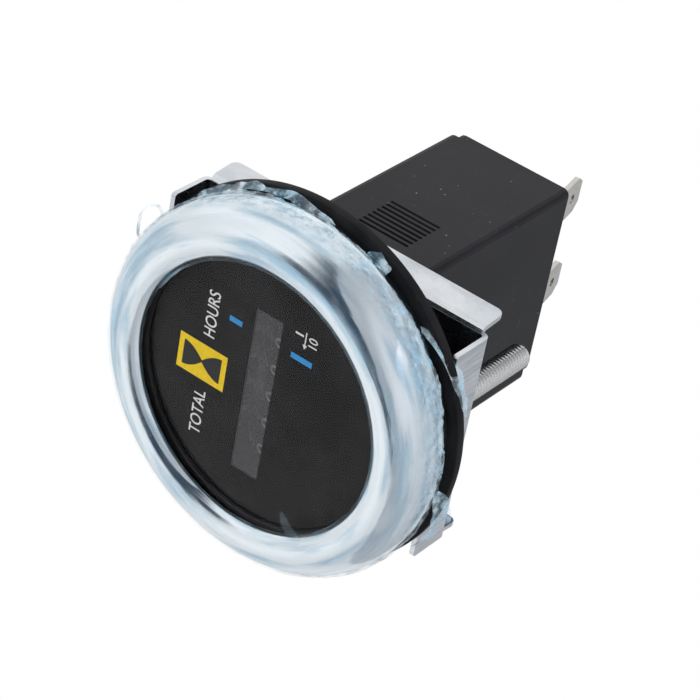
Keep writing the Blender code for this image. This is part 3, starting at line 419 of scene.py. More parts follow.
@dataclass(frozen=True)
class Rubber(Finish):
    """Black gasket rubber, a little dusty, with a soft cut edge."""

    faded: Triple = (0.014, 0.014, 0.016)
    sheen: float = 0.18
    grit_depth: float = 0.04 * MM

    def draw(self, graph: Graph) -> bpy.types.NodeSocket:
        """Faded patches, dust specks and a fine grit."""
        patch = graph.noise(160.0, 5.0, 0.65)
        grit = graph.noise(5200.0, 2.0, 0.5)
        speck = graph.cells(700.0).above(0.09, 0.03) * graph.noise(120.0).above(0.50, 0.6)
        tone = graph.blend(patch.above(0.35, 0.75), self.colour, self.faded)
        return graph.principled(
            Base_Color=graph.blend(speck * 0.5, tone, (0.35, 0.35, 0.35)),
            Roughness=patch * 0.2 + (self.roughness - 0.1),
            Normal=graph.bump(grit, 0.4, self.grit_depth),
            Specular_IOR_Level=self.sheen,
        )


@dataclass(frozen=True)
class ZincSheet(Finish):
    """Bright zinc plate: rolling streaks along the sheet and soft mottled spangle."""

    along: Triple = (1.0, 0.06, 0.06)
    bright: Triple = (0.82, 0.84, 0.86)
    shade: Triple = (0.44, 0.49, 0.55)
    mark_depth: float = 0.04 * MM

    def draw(self, graph: Graph) -> bpy.types.NodeSocket:
        """Rolling streaks over a mottled plate."""
        roll = graph.noise(1500.0, 4.0, 0.62, self.along)
        mottle = graph.noise(210.0, 4.0, 0.6)
        spangle = graph.cells(330.0, "Color")
        tone = graph.blend(mottle.above(0.3, 0.7), self.colour, self.bright)
        return graph.principled(
            Base_Color=graph.blend(roll.above(0.42, 0.75, 0.0, 0.7), tone, self.shade),
            Metallic=1.0,
            Roughness=roll * 0.14 + spangle * 0.07 + (self.roughness - 0.08),
            Normal=graph.bump(roll * 0.8 + mottle * 0.4, 0.28, self.mark_depth),
        )


@dataclass(frozen=True)
class BareMetal(Finish):
    """Plated or drawn metal with fine marks and darker tarnish in patches."""

    tarnish: Triple = (0.30, 0.28, 0.25)
    marks: float = 2400.0
    mark_depth: float = 0.03 * MM

    def draw(self, graph: Graph) -> bpy.types.NodeSocket:
        """Tarnish in patches and fine marks across Y."""
        patch = graph.noise(330.0, 5.0, 0.65)
        mark = graph.noise(self.marks, 3.0, 0.6, (1.0, 0.15, 1.0))
        return graph.principled(
            Base_Color=graph.blend(patch.above(0.55, 0.82, 0.0, 0.6), self.colour, self.tarnish),
            Metallic=1.0,
            Roughness=mark * 0.16 + patch * 0.12 + (self.roughness - 0.12),
            Normal=graph.bump(mark, 0.22, self.mark_depth),
        )


@dataclass(frozen=True)
class Winding(Finish):
    """Enamelled wire laid in turns across the bobbin."""

    turns_a_metre: float = 5200.0
    # Colour painted into the gaps between turns as shade.
    gap: Triple = (0.22, 0.07, 0.03)
    wire_depth: float = 0.1 * MM

    def draw(self, graph: Graph) -> bpy.types.NodeSocket:
        """Each turn is one rounded ridge; the gap between turns is painted darker as shade."""
        _, _, z = graph.split()
        wire = (z * (self.turns_a_metre * math.pi)).math("SINE").math("ABSOLUTE")
        return graph.principled(
            # Painted shade: the colour darkens toward the gap between turns.
            Base_Color=graph.blend(wire, self.gap, self.colour),
            Metallic=0.9,
            Roughness=self.roughness - wire * 0.15,
            Normal=graph.bump(wire, 0.8, self.wire_depth),
        )


@dataclass(frozen=True)
class Ink(Finish):
    """Screen-printed ink with slight mottle."""

    film_depth: float = 0.01 * MM

    def draw(self, graph: Graph) -> bpy.types.NodeSocket:
        """The ink's colour, thinner in patches."""
        patch = graph.noise(1400.0, 3.0, 0.6)
        thin = tuple(channel * 0.86 for channel in self.colour)
        return graph.principled(
            Base_Color=graph.blend(patch.above(0.35, 0.7), thin, self.colour),
            Roughness=patch * 0.1 + self.roughness,
            Normal=graph.bump(patch, 0.2, self.film_depth),
        )


@dataclass(frozen=True)
class Backdrop(Finish):
    """Pale studio floor."""

    def draw(self, graph: Graph) -> bpy.types.NodeSocket:
        """A pale colour with slow, faint changes."""
        far = tuple(channel * 0.985 for channel in self.colour)
        tone = graph.blend(graph.noise(3.0), self.colour, far)
        return graph.principled(Base_Color=tone, Roughness=self.roughness)


CHROME = Chrome("chrome_finish", (0.86, 0.92, 0.96), 0.06)
FILM = ClingFilm("film_finish", (0.74, 0.86, 0.92), 0.10)
LENS = ClearSheet("lens_finish", (0.28, 0.28, 0.29), 0.03)
PANE = ClearSheet("pane_finish", (0.15, 0.15, 0.155), 0.35, haze=0.27, tint=(0.96, 0.96, 0.96))
BLACK = Moulded("case_finish", (0.0055, 0.0055, 0.0075), 0.42)
COVER = Moulded("cover_finish", (0.007, 0.007, 0.009), 0.44, dust=0.35)
DIAL = Moulded(
    "dial_finish", (0.0095, 0.0095, 0.0098), 0.75, grain=5200.0, dust=0.12, sheen=0.05, relief=0.06
)
SPACER = Moulded("spacer_finish", (0.030, 0.030, 0.033), 0.45, dust=0.1, sheen=0.2)
RUBBER = Rubber("rubber_finish", (0.005, 0.005, 0.006), 0.62)
ZINC = ZincSheet("zinc_finish", (0.70, 0.74, 0.78), 0.25)
STEEL = BareMetal("steel_finish", (0.72, 0.72, 0.71), 0.26)
TIN = BareMetal("tin_finish", (0.70, 0.68, 0.64), 0.40, tarnish=(0.45, 0.42, 0.38), marks=1800.0)
WHEEL = Moulded("wheel_finish", (0.020, 0.020, 0.021), 0.5, dust=0.1)
GEAR = Moulded("gear_finish", (0.70, 0.68, 0.62), 0.48, dust=0.1)
COPPER = Winding("copper_finish", (0.62, 0.26, 0.12), 0.42)
BOARD = Moulded("board_finish", (0.02, 0.14, 0.06), 0.42, dust=0.15)
WHITE_INK = Ink("white_ink", (0.80, 0.80, 0.80), 0.5)
YELLOW_INK = Ink("yellow_ink", (0.95, 0.66, 0.004), 0.5)
BLUE_INK = Ink("blue_ink", (0.03, 0.30, 0.68), 0.5)
BLACK_INK = Ink("black_ink", (0.016, 0.016, 0.017), 0.6)
FLOOR = Backdrop("floor_finish", (0.86, 0.86, 0.87), 0.7)

CAD_FINISH: dict[str, tuple[Finish, Slot]] = {
    "case": (BLACK, Slot.BLACK),
    "rear_cover": (COVER, Slot.BLACK),
    "dial_plate": (DIAL, Slot.DIAL),
    "bracket": (ZINC, Slot.ZINC),
    "lock_washer": (ZINC, Slot.ZINC),
    "nut": (ZINC, Slot.ZINC),
    "terminal": (TIN, Slot.TIN),
    "number_wheel": (WHEEL, Slot.WHEEL),
    "transfer_pinion": (GEAR, Slot.GEAR),
    "idler_gear": (GEAR, Slot.GEAR),
    "reduction_gear": (GEAR, Slot.GEAR),
    "coil_bobbin": (GEAR, Slot.GEAR),
    "coil_winding": (COPPER, Slot.COPPER),
    "wheel_shaft": (STEEL, Slot.STEEL),
    "pinion_shaft": (STEEL, Slot.STEEL),
    "rotor": (STEEL, Slot.STEEL),
    "stator": (STEEL, Slot.STEEL),
    "capacitor": (STEEL, Slot.STEEL),
    "movement_frame": (ZINC, Slot.ZINC),
    "circuit_board": (BOARD, Slot.BOARD),
    "control_chip": (BLACK, Slot.BLACK),
    "timing_crystal": (TIN, Slot.TIN),
}


# Mesh helpers


def place_mesh(name: str, bm: bmesh.types.BMesh, finish: Finish, body: str, slot: Slot,
               sharp: float = 40.0) -> bpy.types.Object:
    """Makes a shown piece from a mesh whose points are in the shared frame.

    Args:
        name: the piece's name.
        bm: its mesh; it is freed.
        finish: its surface.
        body: the body that it rides on.
        slot: the record's material slot; not used.
        sharp: the angle in degrees above which an edge stays crisp.

    Returns:
        The piece.
    """
    bmesh.ops.recalc_face_normals(bm, faces=bm.faces)
    mesh = bpy.data.meshes.new(name)
    bm.to_mesh(mesh)
    bm.free()
    mesh.materials.append(finish.material())
    mesh.shade_smooth()
    mesh.set_sharp_from_angle(angle=math.radians(sharp))
    piece = bpy.data.objects.new(name, mesh)
    bpy.context.scene.collection.objects.link(piece)
    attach(piece, body)
    log.info("%s rides on %s, %d faces", name, body, len(mesh.polygons))
    return piece


def turned(profile: Sequence[Pair], segments: int,
           shift: Callable[[float, int], float] | None = None) -> bmesh.types.BMesh:
    """Turns a closed outline of (radius, y) pairs about the Y axis.

    Args:
        profile: the outline.
        segments: steps round the axis.
        shift: optional change of radius for an angle and a point's number.

    Returns:
        The mesh.
    """
    bm = bmesh.new()
    rings = []
    for number, (radius, y) in enumerate(profile):
        ring = []
        for step in range(segments):
            turn = TAU * step / segments
            reach = radius + (shift(turn, number) if shift else 0.0)
            ring.append(bm.verts.new((reach * math.cos(turn), y, reach * math.sin(turn))))
        rings.append(ring)
    for number, far in enumerate(rings):
        near = rings[number - 1]
        for step in range(segments):
            after = (step + 1) % segments
            bm.faces.new((near[step], near[after], far[after], far[step]))
    return bm


def slab(outline: Sequence[Pair], front: float, rear: float) -> bmesh.types.BMesh:
    """A flat plate.

    Args:
        outline: its (x, z) points.
        front: its lower place along Y.
        rear: its higher place along Y.

    Returns:
        The mesh.
    """
    bm = bmesh.new()
    near = [bm.verts.new((x, front, z)) for x, z in outline]
    far = [bm.verts.new((x, rear, z)) for x, z in outline]
    bm.faces.new(near)
    bm.faces.new(far[::-1])
    for k in range(len(near)):
        bm.faces.new((near[k - 1], near[k], far[k], far[k - 1]))
    return bm


def grid_sheet(columns: Sequence[Sequence[Vector]], thick: float) -> bmesh.types.BMesh:
    """A thin closed sheet through a grid of points.

    Args:
        columns: the grid, one list of points after the other.
        thick: the sheet's thickness.

    Returns:
        The mesh.
    """
    rows, count = len(columns), len(columns[0])
    bm = bmesh.new()
    top: list[list[bmesh.types.BMVert]] = []
    under: list[list[bmesh.types.BMVert]] = []
    for i, column in enumerate(columns):
        high, low = [], []
        for j, point in enumerate(column):
            down = columns[min(i + 1, rows - 1)][j] - columns[max(i - 1, 0)][j]
            across = column[min(j + 1, count - 1)] - column[max(j - 1, 0)]
            normal = down.cross(across).normalized() * thick / 2
            high.append(bm.verts.new(point + normal))
            low.append(bm.verts.new(point - normal))
        top.append(high)
        under.append(low)
    for i in range(rows - 1):
        for j in range(count - 1):
            for side in (top, under):
                bm.faces.new((side[i][j], side[i + 1][j], side[i + 1][j + 1], side[i][j + 1]))
    rim = [(i, 0) for i in range(rows)] + [(rows - 1, j) for j in range(1, count)]
    rim += [(i, count - 1) for i in range(rows - 2, -1, -1)] + [(0, j) for j in range(count - 2, 0, -1)]
    for k, (i, j) in enumerate(rim):
        a, b = rim[k - 1]
        bm.faces.new((top[a][b], top[i][j], under[i][j], under[a][b]))
    return bm


def text_mesh(words: str, thick: float, weight: float = 0.0) -> list[tuple[Vector, ...]]:
    """Makes the faces of a line of text, one unit high, starting at the origin in X and Y.

    Args:
        words: the text.
        thick: how far it is extruded to each side.
        weight: how far its outlines are moved outwards.

    Returns:
        The points of each face.
    """
    curve = bpy.data.curves.new("words", "FONT")
    curve.body = words
    curve.extrude = thick
    curve.offset = weight
    curve.resolution_u = 6
    holder = bpy.data.objects.new("words", curve)
    bpy.context.scene.collection.objects.link(holder)
    graph = bpy.context.evaluated_depsgraph_get()
    mesh = bpy.data.meshes.new_from_object(holder.evaluated_get(graph))
    faces = [tuple(mesh.vertices[v].co.copy() for v in face.vertices) for face in mesh.polygons]
    bpy.data.objects.remove(holder)
    bpy.data.curves.remove(curve)
    bpy.data.meshes.remove(mesh)
    return faces


def add_faces(bm: bmesh.types.BMesh, faces: Iterable[Sequence[Vector]],
              where: Callable[[Vector], Vector]) -> None:
    """Adds loose faces through a placing function and joins their shared points.

    Args:
        bm: the mesh that they are added to.
        faces: the points of each face.
        where: gives a point's place in the shared frame.
    """
    for face in faces:
        points = [where(point) for point in face]
        if len({tuple(round(value, 8) for value in point) for point in points}) == len(points):
            bm.faces.new([bm.verts.new(point) for point in points])
    bmesh.ops.remove_doubles(bm, verts=bm.verts, dist=SAME_POINT)


def spread(faces: Sequence[Sequence[Vector]]) -> Area:
    """The least and greatest X and Y of a set of faces."""
    xs = [p.x for face in faces for p in face]
    ys = [p.y for face in faces for p in face]
    return min(xs), max(xs), min(ys), max(ys)


def grown(tree: bpy.types.GeometryNodeTree, values: Mapping[str, object]) -> bmesh.types.BMesh:
    """Evaluates a geometry node tree.

    Args:
        tree: the tree.
        values: its inputs by name.

    Returns:
        The plain mesh that it gives.
    """
    holder = bpy.data.objects.new("holder", bpy.data.meshes.new("holder"))
    modifier = holder.modifiers.new("growth", "NODES")
    modifier.node_group = tree
    for socket in tree.interface.items_tree:
        if socket.in_out == "INPUT":
            modifier[socket.identifier] = values[socket.name]
    bpy.context.scene.collection.objects.link(holder)
    graph = bpy.context.evaluated_depsgraph_get()
    mesh = bpy.data.meshes.new_from_object(holder.evaluated_get(graph))
    bpy.data.objects.remove(holder)
    bm = bmesh.new()
    bm.from_mesh(mesh)
    bpy.data.meshes.remove(mesh)
    return bm


# Bezel and film


@dataclass(frozen=True)
class RingShape:
    """The bezel's outer section, lip to rear edge."""

    widest: float = 29.6 * MM
    crest: float = 24.6 * MM
    opening: float = 21.9 * MM
    front: float = -12.0 * MM
    shoulder: float = -6.9 * MM
    rear: float = -1.9 * MM
    drop: float = 1.3 * MM
    taper: float = 3.9 * MM
    taper_length: float = 7.0 * MM
    crimp: float = 26.4 * MM
    edge: float = 0.55 * MM
    sheet: float = 0.7 * MM

    def section(self, steps: int = 12) -> list[Pair]:
        """Points along the outer surface.

        Args:
            steps: how many steps each quarter of the section has.

        Returns:
            (radius, y) pairs from the lip to the crimped rear edge.
        """
        lip = self.crest - self.opening
        nose = self.widest - self.crest
        points = []
        for i in range(steps):
            turn = math.pi / 2 * i / steps
            points.append((self.crest - lip * math.cos(turn), self.front + self.drop * (1 - math.sin(turn))))
        for i in range(2 * steps):
            turn = math.pi / 4 * i / steps
            y = self.shoulder + (self.front - self.shoulder) * math.cos(turn)
            points.append((self.crest + nose * math.sin(turn), y))
        skirt = self.rear - self.edge - self.shoulder
        for i in range(steps):
            along = skirt * i / (steps - 1)
            taper = self.taper * (1 - math.sqrt(1 - (along / self.taper_length) ** 2))
            points.append((self.widest - taper, self.shoulder + along))
        points.append((points[-1][0] - self.edge, self.rear))
        points.append((self.crimp, self.rear))
        return points

    def offset(self, points: Sequence[Pair], distance: float) -> list[Pair]:
        """A section moved out from the ring.

        Args:
            points: the section.
            distance: how far it moves; inwards if negative.

        Returns:
            The moved section.
        """
        path = [Vector(point) for point in points]
        moved = []
        for i, point in enumerate(path):
            lead = (point - path[i - 1]).normalized() if i else (path[1] - point).normalized()
            trail = (path[i + 1] - point).normalized() if i < len(path) - 1 else lead
            along = (lead + trail).normalized()
            grow = 1.0 / max(along.dot(lead), 0.5)
            moved.append((point.x + along.y * grow * distance, point.y - along.x * grow * distance))
        return moved


@dataclass(frozen=True)
class FilmShape:
    """How the film lies on the ring."""

    gap: float = 0.24 * MM
    skin: float = 0.05 * MM
    curl_out: float = 0.15 * MM
    curl_back: float = 0.3 * MM
    ridge: float = 0.22 * MM
    fine_ridge: float = 0.10 * MM
    least_reach: float = 0.78
    usual_reach: float = 0.90
    greatest_reach: float = 0.985
    wide_overhang: float = 0.62 * MM
    overhang: float = 0.38 * MM
    narrow_overhang: float = 0.06 * MM


@dataclass(frozen=True)
class BezelAssembly:
    """The chromed ring, its film and the film's loose flaps."""

    shape: RingShape = RingShape()
    film_shape: FilmShape = FilmShape()
    segments: int = 240

    def build(self) -> None:
        """Makes the pieces."""
        self.ring()
        self.film()
        for flap in FLAPS:
            flap.build()

    def ring(self) -> None:
        """The metal ring, outer surface and inner surface."""
        outer = self.shape.section()
        inner = self.shape.offset(outer, -self.shape.sheet)
        before_edge = self.shape.rear - self.shape.edge * 1.01
        inside = [p for p, q in zip(inner, outer) if q[1] < before_edge] + inner[-2:]
        mesh = turned(outer + inside[::-1], self.segments)
        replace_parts(place_mesh("bezel_skin", mesh, CHROME, Body.METER.value, Slot.CHROME), "bezel")

    def film(self) -> None:
        """The film: wrinkled all round, torn along its rear edge."""
        base = self.shape.offset(self.shape.section(14)[:-2], self.film_shape.gap)
        base.insert(0, (self.shape.opening, self.shape.front + self.shape.drop))
        count = len(base)
        segments = self.segments * 2
        bm = bmesh.new()
        under, over = [], []
        for step in range(segments):
            low, high = [], []
            for point, outward in self.film_line(TAU * step / segments, base):
                low.append(bm.verts.new(point))
                high.append(bm.verts.new(point + outward * self.film_shape.skin))
            under.append(low)
            over.append(high)
        for step in range(segments):
            after = (step + 1) % segments
            for number in range(count - 1):
                bm.faces.new((under[step][number], under[after][number],
                              under[after][number + 1], under[step][number + 1]))
                bm.faces.new((over[step][number], over[step][number + 1],
                              over[after][number + 1], over[after][number]))
            for number in (0, count - 1):
                bm.faces.new((under[step][number], over[step][number],
                              over[after][number], under[after][number]))
        piece = place_mesh("film_skin", bm, FILM, Body.METER.value, Slot.FILM, sharp=60.0)
        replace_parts(piece, "protective_film")

    def film_line(self, turn: float, base: Sequence[Pair]) -> list[tuple[Vector, Vector]]:
        """The film's line from the lip to its torn edge at an angle.

        Args:
            turn: the angle round the ring.
            base: the section that the film clings to.

        Returns:
            Points on its under side, each with the direction that points out of it.
        """
        last = len(base) - 1
        reach = self.tear(turn)
        line = []
        for number in range(len(base)):
            share = number / last
            along = min(share, reach)
            place = along * last
            k = min(int(place), last - 1)
            part = place - k
            radius = base[k][0] * (1 - part) + base[k + 1][0] * part
            if number == 0:
                radius -= self.overhang(turn)
            depth = base[k][1] * (1 - part) + base[k + 1][1] * part
            lift = self.wrinkle(turn, along)
            loose = max(0.0, share - reach)
            radius += lift + self.film_shape.curl_out * min(1.0, loose * 6)
            depth += loose * self.film_shape.curl_back
            depth -= lift * 0.6 * (1 - share)
            point = Vector((radius * math.cos(turn), depth, radius * math.sin(turn)))
            outward = Vector((point.x, 0.0, point.z)).normalized() * share ** 0.5
            outward.y = -(1.0 - share)
            line.append((point, outward.normalized()))
        return line

    def overhang(self, turn: float) -> float:
        """How far the film reaches into the opening.

        Args:
            turn: the angle round the ring.

        Returns:
            A length.
        """
        degrees = (math.degrees(turn) + 180.0) % 360.0 - 180.0
        ragged = noise.noise(Vector((math.cos(turn) * 9.0, math.sin(turn) * 9.0, 7.0)))
        if -72.0 < degrees < 66.0:
            return self.film_shape.wide_overhang + 0.16 * ragged * MM
        if -108.0 < degrees <= -72.0:
            return self.film_shape.narrow_overhang
        return self.film_shape.overhang + 0.14 * ragged * MM

    def tear(self, turn: float) -> float:
        """How far along the section the film reaches.

        Args:
            turn: the angle round the ring.

        Returns:
            A share of the section, from 0 to 1.
        """
        at = Vector((math.cos(turn) * 4.0, math.sin(turn) * 4.0, 0.3))
        coarse = noise.noise(at)
        jag = noise.noise(at * 5.0) * 0.5 + noise.noise(at * 13.0) * 0.35
        reach = self.film_shape.usual_reach + 0.07 * coarse + 0.06 * jag
        return max(self.film_shape.least_reach, min(self.film_shape.greatest_reach, reach))

    def wrinkle(self, turn: float, share: float) -> float:
        """The film's lift off the metal, on top of its gap at rest.

        Args:
            turn: the angle round the ring.
            share: the place along the section, from 0 to 1.

        Returns:
            A length, never below zero.
        """
        at = Vector((math.cos(turn) * 6.0, math.sin(turn) * 6.0, share * 5.0))
        ridge = max(0.0, 1.0 - abs(noise.noise(at * 1.3)) * 3.2)
        fine = max(0.0, 1.0 - abs(noise.noise(at * 4.1 + Vector((3.0, 1.0, 2.0)))) * 3.0)
        rear = 0.25 + 0.75 * max(0.0, share - 0.35)
        return (ridge * self.film_shape.ridge + fine * self.film_shape.fine_ridge) * rear


@dataclass(frozen=True)
class Flap:
    """A loose piece of film: a crumpled ribbon along a path, pointed or blunt at its ends."""

    name: str
    path: tuple[Triple, ...]
    width: float
    across: Triple
    taper: float = 0.8
    crumple: float = 0.4
    seed: float = 0.0

    def build(self) -> None:
        """Makes the ribbon as a thin closed sheet."""
        rows, count = 26, 9
        across = Vector(self.across).normalized()
        columns = []
        for i in range(rows):
            centre = self.centre(i / (rows - 1))
            ends = math.sin(math.pi * i / (rows - 1)) if i < rows - 1 else math.sin(math.pi)
            wide = self.width * MM * (1 - self.taper + self.taper * ends ** 0.6)
            column = []
            for j in range(count):
                spot = centre + across * (j / (count - 1) - 0.5) * wide
                at = spot * 420.0 + Vector((self.seed, self.seed * 2.0, 0.0))
                column.append(spot + noise.noise_vector(at) * self.crumple * MM)
            columns.append(column)
        sheet = grid_sheet(columns, FilmShape().skin)
        place_mesh(self.name, sheet, FILM, Body.METER.value, Slot.FILM, sharp=60.0)

    def centre(self, share: float) -> Vector:
        """The ribbon's middle, on a smooth curve through its path.

        Args:
            share: the place along the ribbon, from 0 to 1.

        Returns:
            A point.
        """
        points = [Vector(point) * MM for point in self.path]
        place = share * (len(points) - 1)
        k = min(int(place), len(points) - 2)
        part = place - k
        before, after = points[max(k - 1, 0)], points[min(k + 2, len(points) - 1)]
        slope_in, slope_out = (points[k + 1] - before) * 0.5, (after - points[k]) * 0.5
        middle = points[k].lerp(points[k + 1], part * part * (3 - 2 * part))
        return middle + slope_in * (part * (1 - part) ** 2) - slope_out * (part ** 2 * (1 - part))


FLAPS: tuple[Flap, ...] = (
    Flap("film_curl", ((15.0, -4.6, 25.6), (16.4, -3.6, 27.2), (15.0, -3.2, 29.6), (12.8, -3.3, 30.8),
                       (10.2, -3.8, 30.4), (9.2, -4.6, 28.6)), 0.9, (0.0, 1.0, 0.1), 0.5, 0.25, 1.0),
    Flap("film_crumple_top", ((21.4, -3.4, 20.6), (24.2, -2.9, 17.2), (26.6, -2.8, 13.4), (28.3, -2.8, 9.6)),
         1.9, (0.45, 0.75, 0.35), 0.6, 0.55, 2.0),
    Flap("film_crumple_side", ((28.3, -3.0, 9.8), (29.0, -2.6, 5.0), (28.9, -2.7, 0.6), (28.3, -3.0, -4.0)),
         1.7, (0.5, 0.8, -0.05), 0.6, 0.5, 3.0),
    Flap("film_flap_side", ((27.2, -2.6, -9.4), (27.0, -2.1, -11.2), (25.8, -2.2, -13.0)), 1.8,
         (0.5, 0.8, -0.3), 0.7, 0.5, 4.0),
    Flap("film_strip", ((20.6, -3.0, -20.0), (18.6, -1.6, -22.6), (15.6, -0.6, -25.4), (11.6, -0.2, -28.0),
                        (8.8, -0.4, -29.6)), 2.6, (0.2, 1.0, 0.25), 0.95, 0.45, 5.0),
    Flap("film_flap_lower",
         ((-3.6, -3.2, -28.8), (-7.4, -1.9, -29.8), (-11.0, -1.6, -29.4), (-15.0, -2.8, -27.2)), 3.2,
         (0.1, 1.0, -0.3), 0.8, 0.8, 6.0),
    Flap("film_shard",
         ((-16.1, -10.9, -8.4), (-18.0, -11.05, -10.4), (-19.0, -11.3, -11.6), (-20.0, -12.0, -12.6)), 2.8,
         (0.75, -0.1, -0.65), 0.9, 0.2, 7.0),
)


# Dial, lens and print


@dataclass(frozen=True)
class DialPrint:
    """The dial's print, in millimetres on the dial."""

    words: tuple[tuple[str, Area], ...] = (
        ("TOTAL", (-14.3, -6.3, 10.4, 12.55)),
        ("HOURS", (3.5, 11.5, 10.4, 12.55)),
    )
    word_weight: float = 0.006
    panel: Area = (-4.48, 1.76, 7.45, 16.6)
    border: float = 0.95
    half_waist: float = 0.16
    flare: float = 1.9
    marks: tuple[tuple[str, Area], ...] = (
        ("print_mark_upper", (8.22, 9.12, 5.9, 8.3)),
        ("print_mark_lower", (8.18, 9.12, -7.2, -3.3)),
    )
    one: Area = (12.50, 12.84, -4.95, -3.45)
    ten: Area = (11.55, 13.15, -7.55, -5.95)
    ten_weight: float = 0.004
    arrow: tuple[Pair, ...] = (
        (10.6, -5.38), (11.35, -5.78), (11.35, -5.48), (13.5, -5.48),
        (13.5, -5.28), (11.35, -5.28), (11.35, -4.98),
    )


@dataclass(frozen=True)
class DialAssembly:
    """Lens, spacer, window pane and the dial's print."""

    face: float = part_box("dial_plate")[0].y
    ink: float = 0.03 * MM
    window: Area = (-15.95 * MM, 12.75 * MM, -1.1 * MM, 3.9 * MM)
    pane_inset: float = 0.1 * MM
    pane_thick: float = 0.25 * MM
    spacer_bore: float = 21.9 * MM
    spacer_edge: float = 0.1 * MM
    lens_edge: float = 0.2 * MM
    print: DialPrint = DialPrint()
    segments: int = 192

    def build(self) -> None:
        """Makes the pieces."""
        self.lens()
        self.spacer()
        x0, x1, z0, z1 = self.window
        front = self.face + self.pane_inset
        pane = slab([(x0, z0), (x1, z0), (x1, z1), (x0, z1)], front, front + self.pane_thick)
        place_mesh("window_pane", pane, PANE, Body.METER.value, Slot.DIAL)
        for words, area in self.print.words:
            self.words(f"print_{words.lower()}", words, area, self.print.word_weight)
        self.hourglass()
        for name, area in self.print.marks:
            self.plate(name, self.corners(area), BLUE_INK)
        self.words("print_one", "1", self.print.one, 0.0)
        self.words("print_ten", "10", self.print.ten, self.print.ten_weight)
        self.plate("print_arrow", self.print.arrow, WHITE_INK)

    @staticmethod
    def corners(area: Area) -> list[Pair]:
        """The corners of an area, in order round it."""
        x0, x1, z0, z1 = area
        return [(x0, z0), (x1, z0), (x1, z1), (x0, z1)]

    def lens(self) -> None:
        """The lens: a finely turned disc with eased edges, its middle closed by a small flat face."""
        low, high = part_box("lens")
        radius, edge = high.x, self.lens_edge
        core = radius * 0.02
        profile = [(core, low.y), (radius - edge, low.y), (radius, low.y + edge),
                   (radius, high.y - edge), (radius - edge, high.y), (core, high.y)]
        bm = turned(profile, self.segments)
        inner = [f for f in bm.faces if all(math.hypot(v.co.x, v.co.z) < core * 1.01 for v in f.verts)]
        bmesh.ops.delete(bm, geom=inner, context="FACES_ONLY")
        for y in (low.y, high.y):
            ring = [e for e in bm.edges if len(e.link_faces) == 1
                    and all(abs(v.co.y - y) < SAME_POINT for v in e.verts)]
            bmesh.ops.contextual_create(bm, geom=ring)
        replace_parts(place_mesh("lens_skin", bm, LENS, Body.METER.value, Slot.LENS), "lens")

    def spacer(self) -> None:
        """The ring between lens and dial, its inner corner eased."""
        low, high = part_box("lens_spacer_ring")
        inner, outer, edge = self.spacer_bore, high.x, self.spacer_edge
        profile = [(inner, low.y + edge), (inner + edge, low.y), (outer, low.y), (outer, high.y),
                   (inner + edge, high.y), (inner, high.y - edge)]
        mesh = turned(profile, self.segments)
        piece = place_mesh("spacer_skin", mesh, SPACER, Body.METER.value, Slot.SPACER)
        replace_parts(piece, "lens_spacer_ring")

    def plate(self, name: str, outline: Sequence[Pair], finish: Finish, layer: int = 0) -> None:
        """A flat printed shape.

        Args:
            name: the piece's name.
            outline: its outline in millimetres on the dial.
            finish: its ink.
            layer: how many layers of ink lie under it.
        """
        scaled = [(x * MM, z * MM) for x, z in outline]
        rear = self.face - self.ink * (1 + layer)
        place_mesh(name, slab(scaled, rear - self.ink / 2, rear), finish, Body.METER.value, Slot.DIAL)

    def words(self, name: str, words: str, area: Area, weight: float) -> None:
        """A printed word fitted to an area.

        Args:
            name: the piece's name.
            words: the text.
            area: its least and greatest X and Z in millimetres on the dial.
            weight: how much bolder than plain it is.
        """
        faces = text_mesh(words, 0.005, weight)
        x0, x1, y0, y1 = spread(faces)
        low, high, base, top = (value * MM for value in area)
        rear = self.face - self.ink

        def where(point: Vector) -> Vector:
            """A text point's place on the dial."""
            x = low + (point.x - x0) / (x1 - x0) * (high - low)
            z = base + (point.y - y0) / (y1 - y0) * (top - base)
            return Vector((x, rear - point.z * MM, z))

        bm = bmesh.new()
        add_faces(bm, faces, where)
        place_mesh(name, bm, WHITE_INK, Body.METER.value, Slot.DIAL)

    def hourglass(self) -> None:
        """A yellow panel with a black hourglass."""
        self.plate("print_panel", self.corners(self.print.panel), YELLOW_INK)
        x0, x1, z0, z1 = self.print.panel
        middle, waist = (x0 + x1) / 2, (z0 + z1) / 2
        half = (x1 - x0) / 2 - self.print.border
        tall = (z1 - z0) / 2 - self.print.border
        steps = 14
        right = []
        for i in range(-steps, steps + 1):
            bulge = 1 - (1 - abs(i) / steps) ** self.print.flare
            width = self.print.half_waist + (half - self.print.half_waist) * bulge
            right.append((middle + width, waist + tall * i / steps))
        left = [(2 * middle - x, z) for x, z in reversed(right)]
        self.plate("print_hourglass", right + left, BLACK_INK, 1)


# Counter print


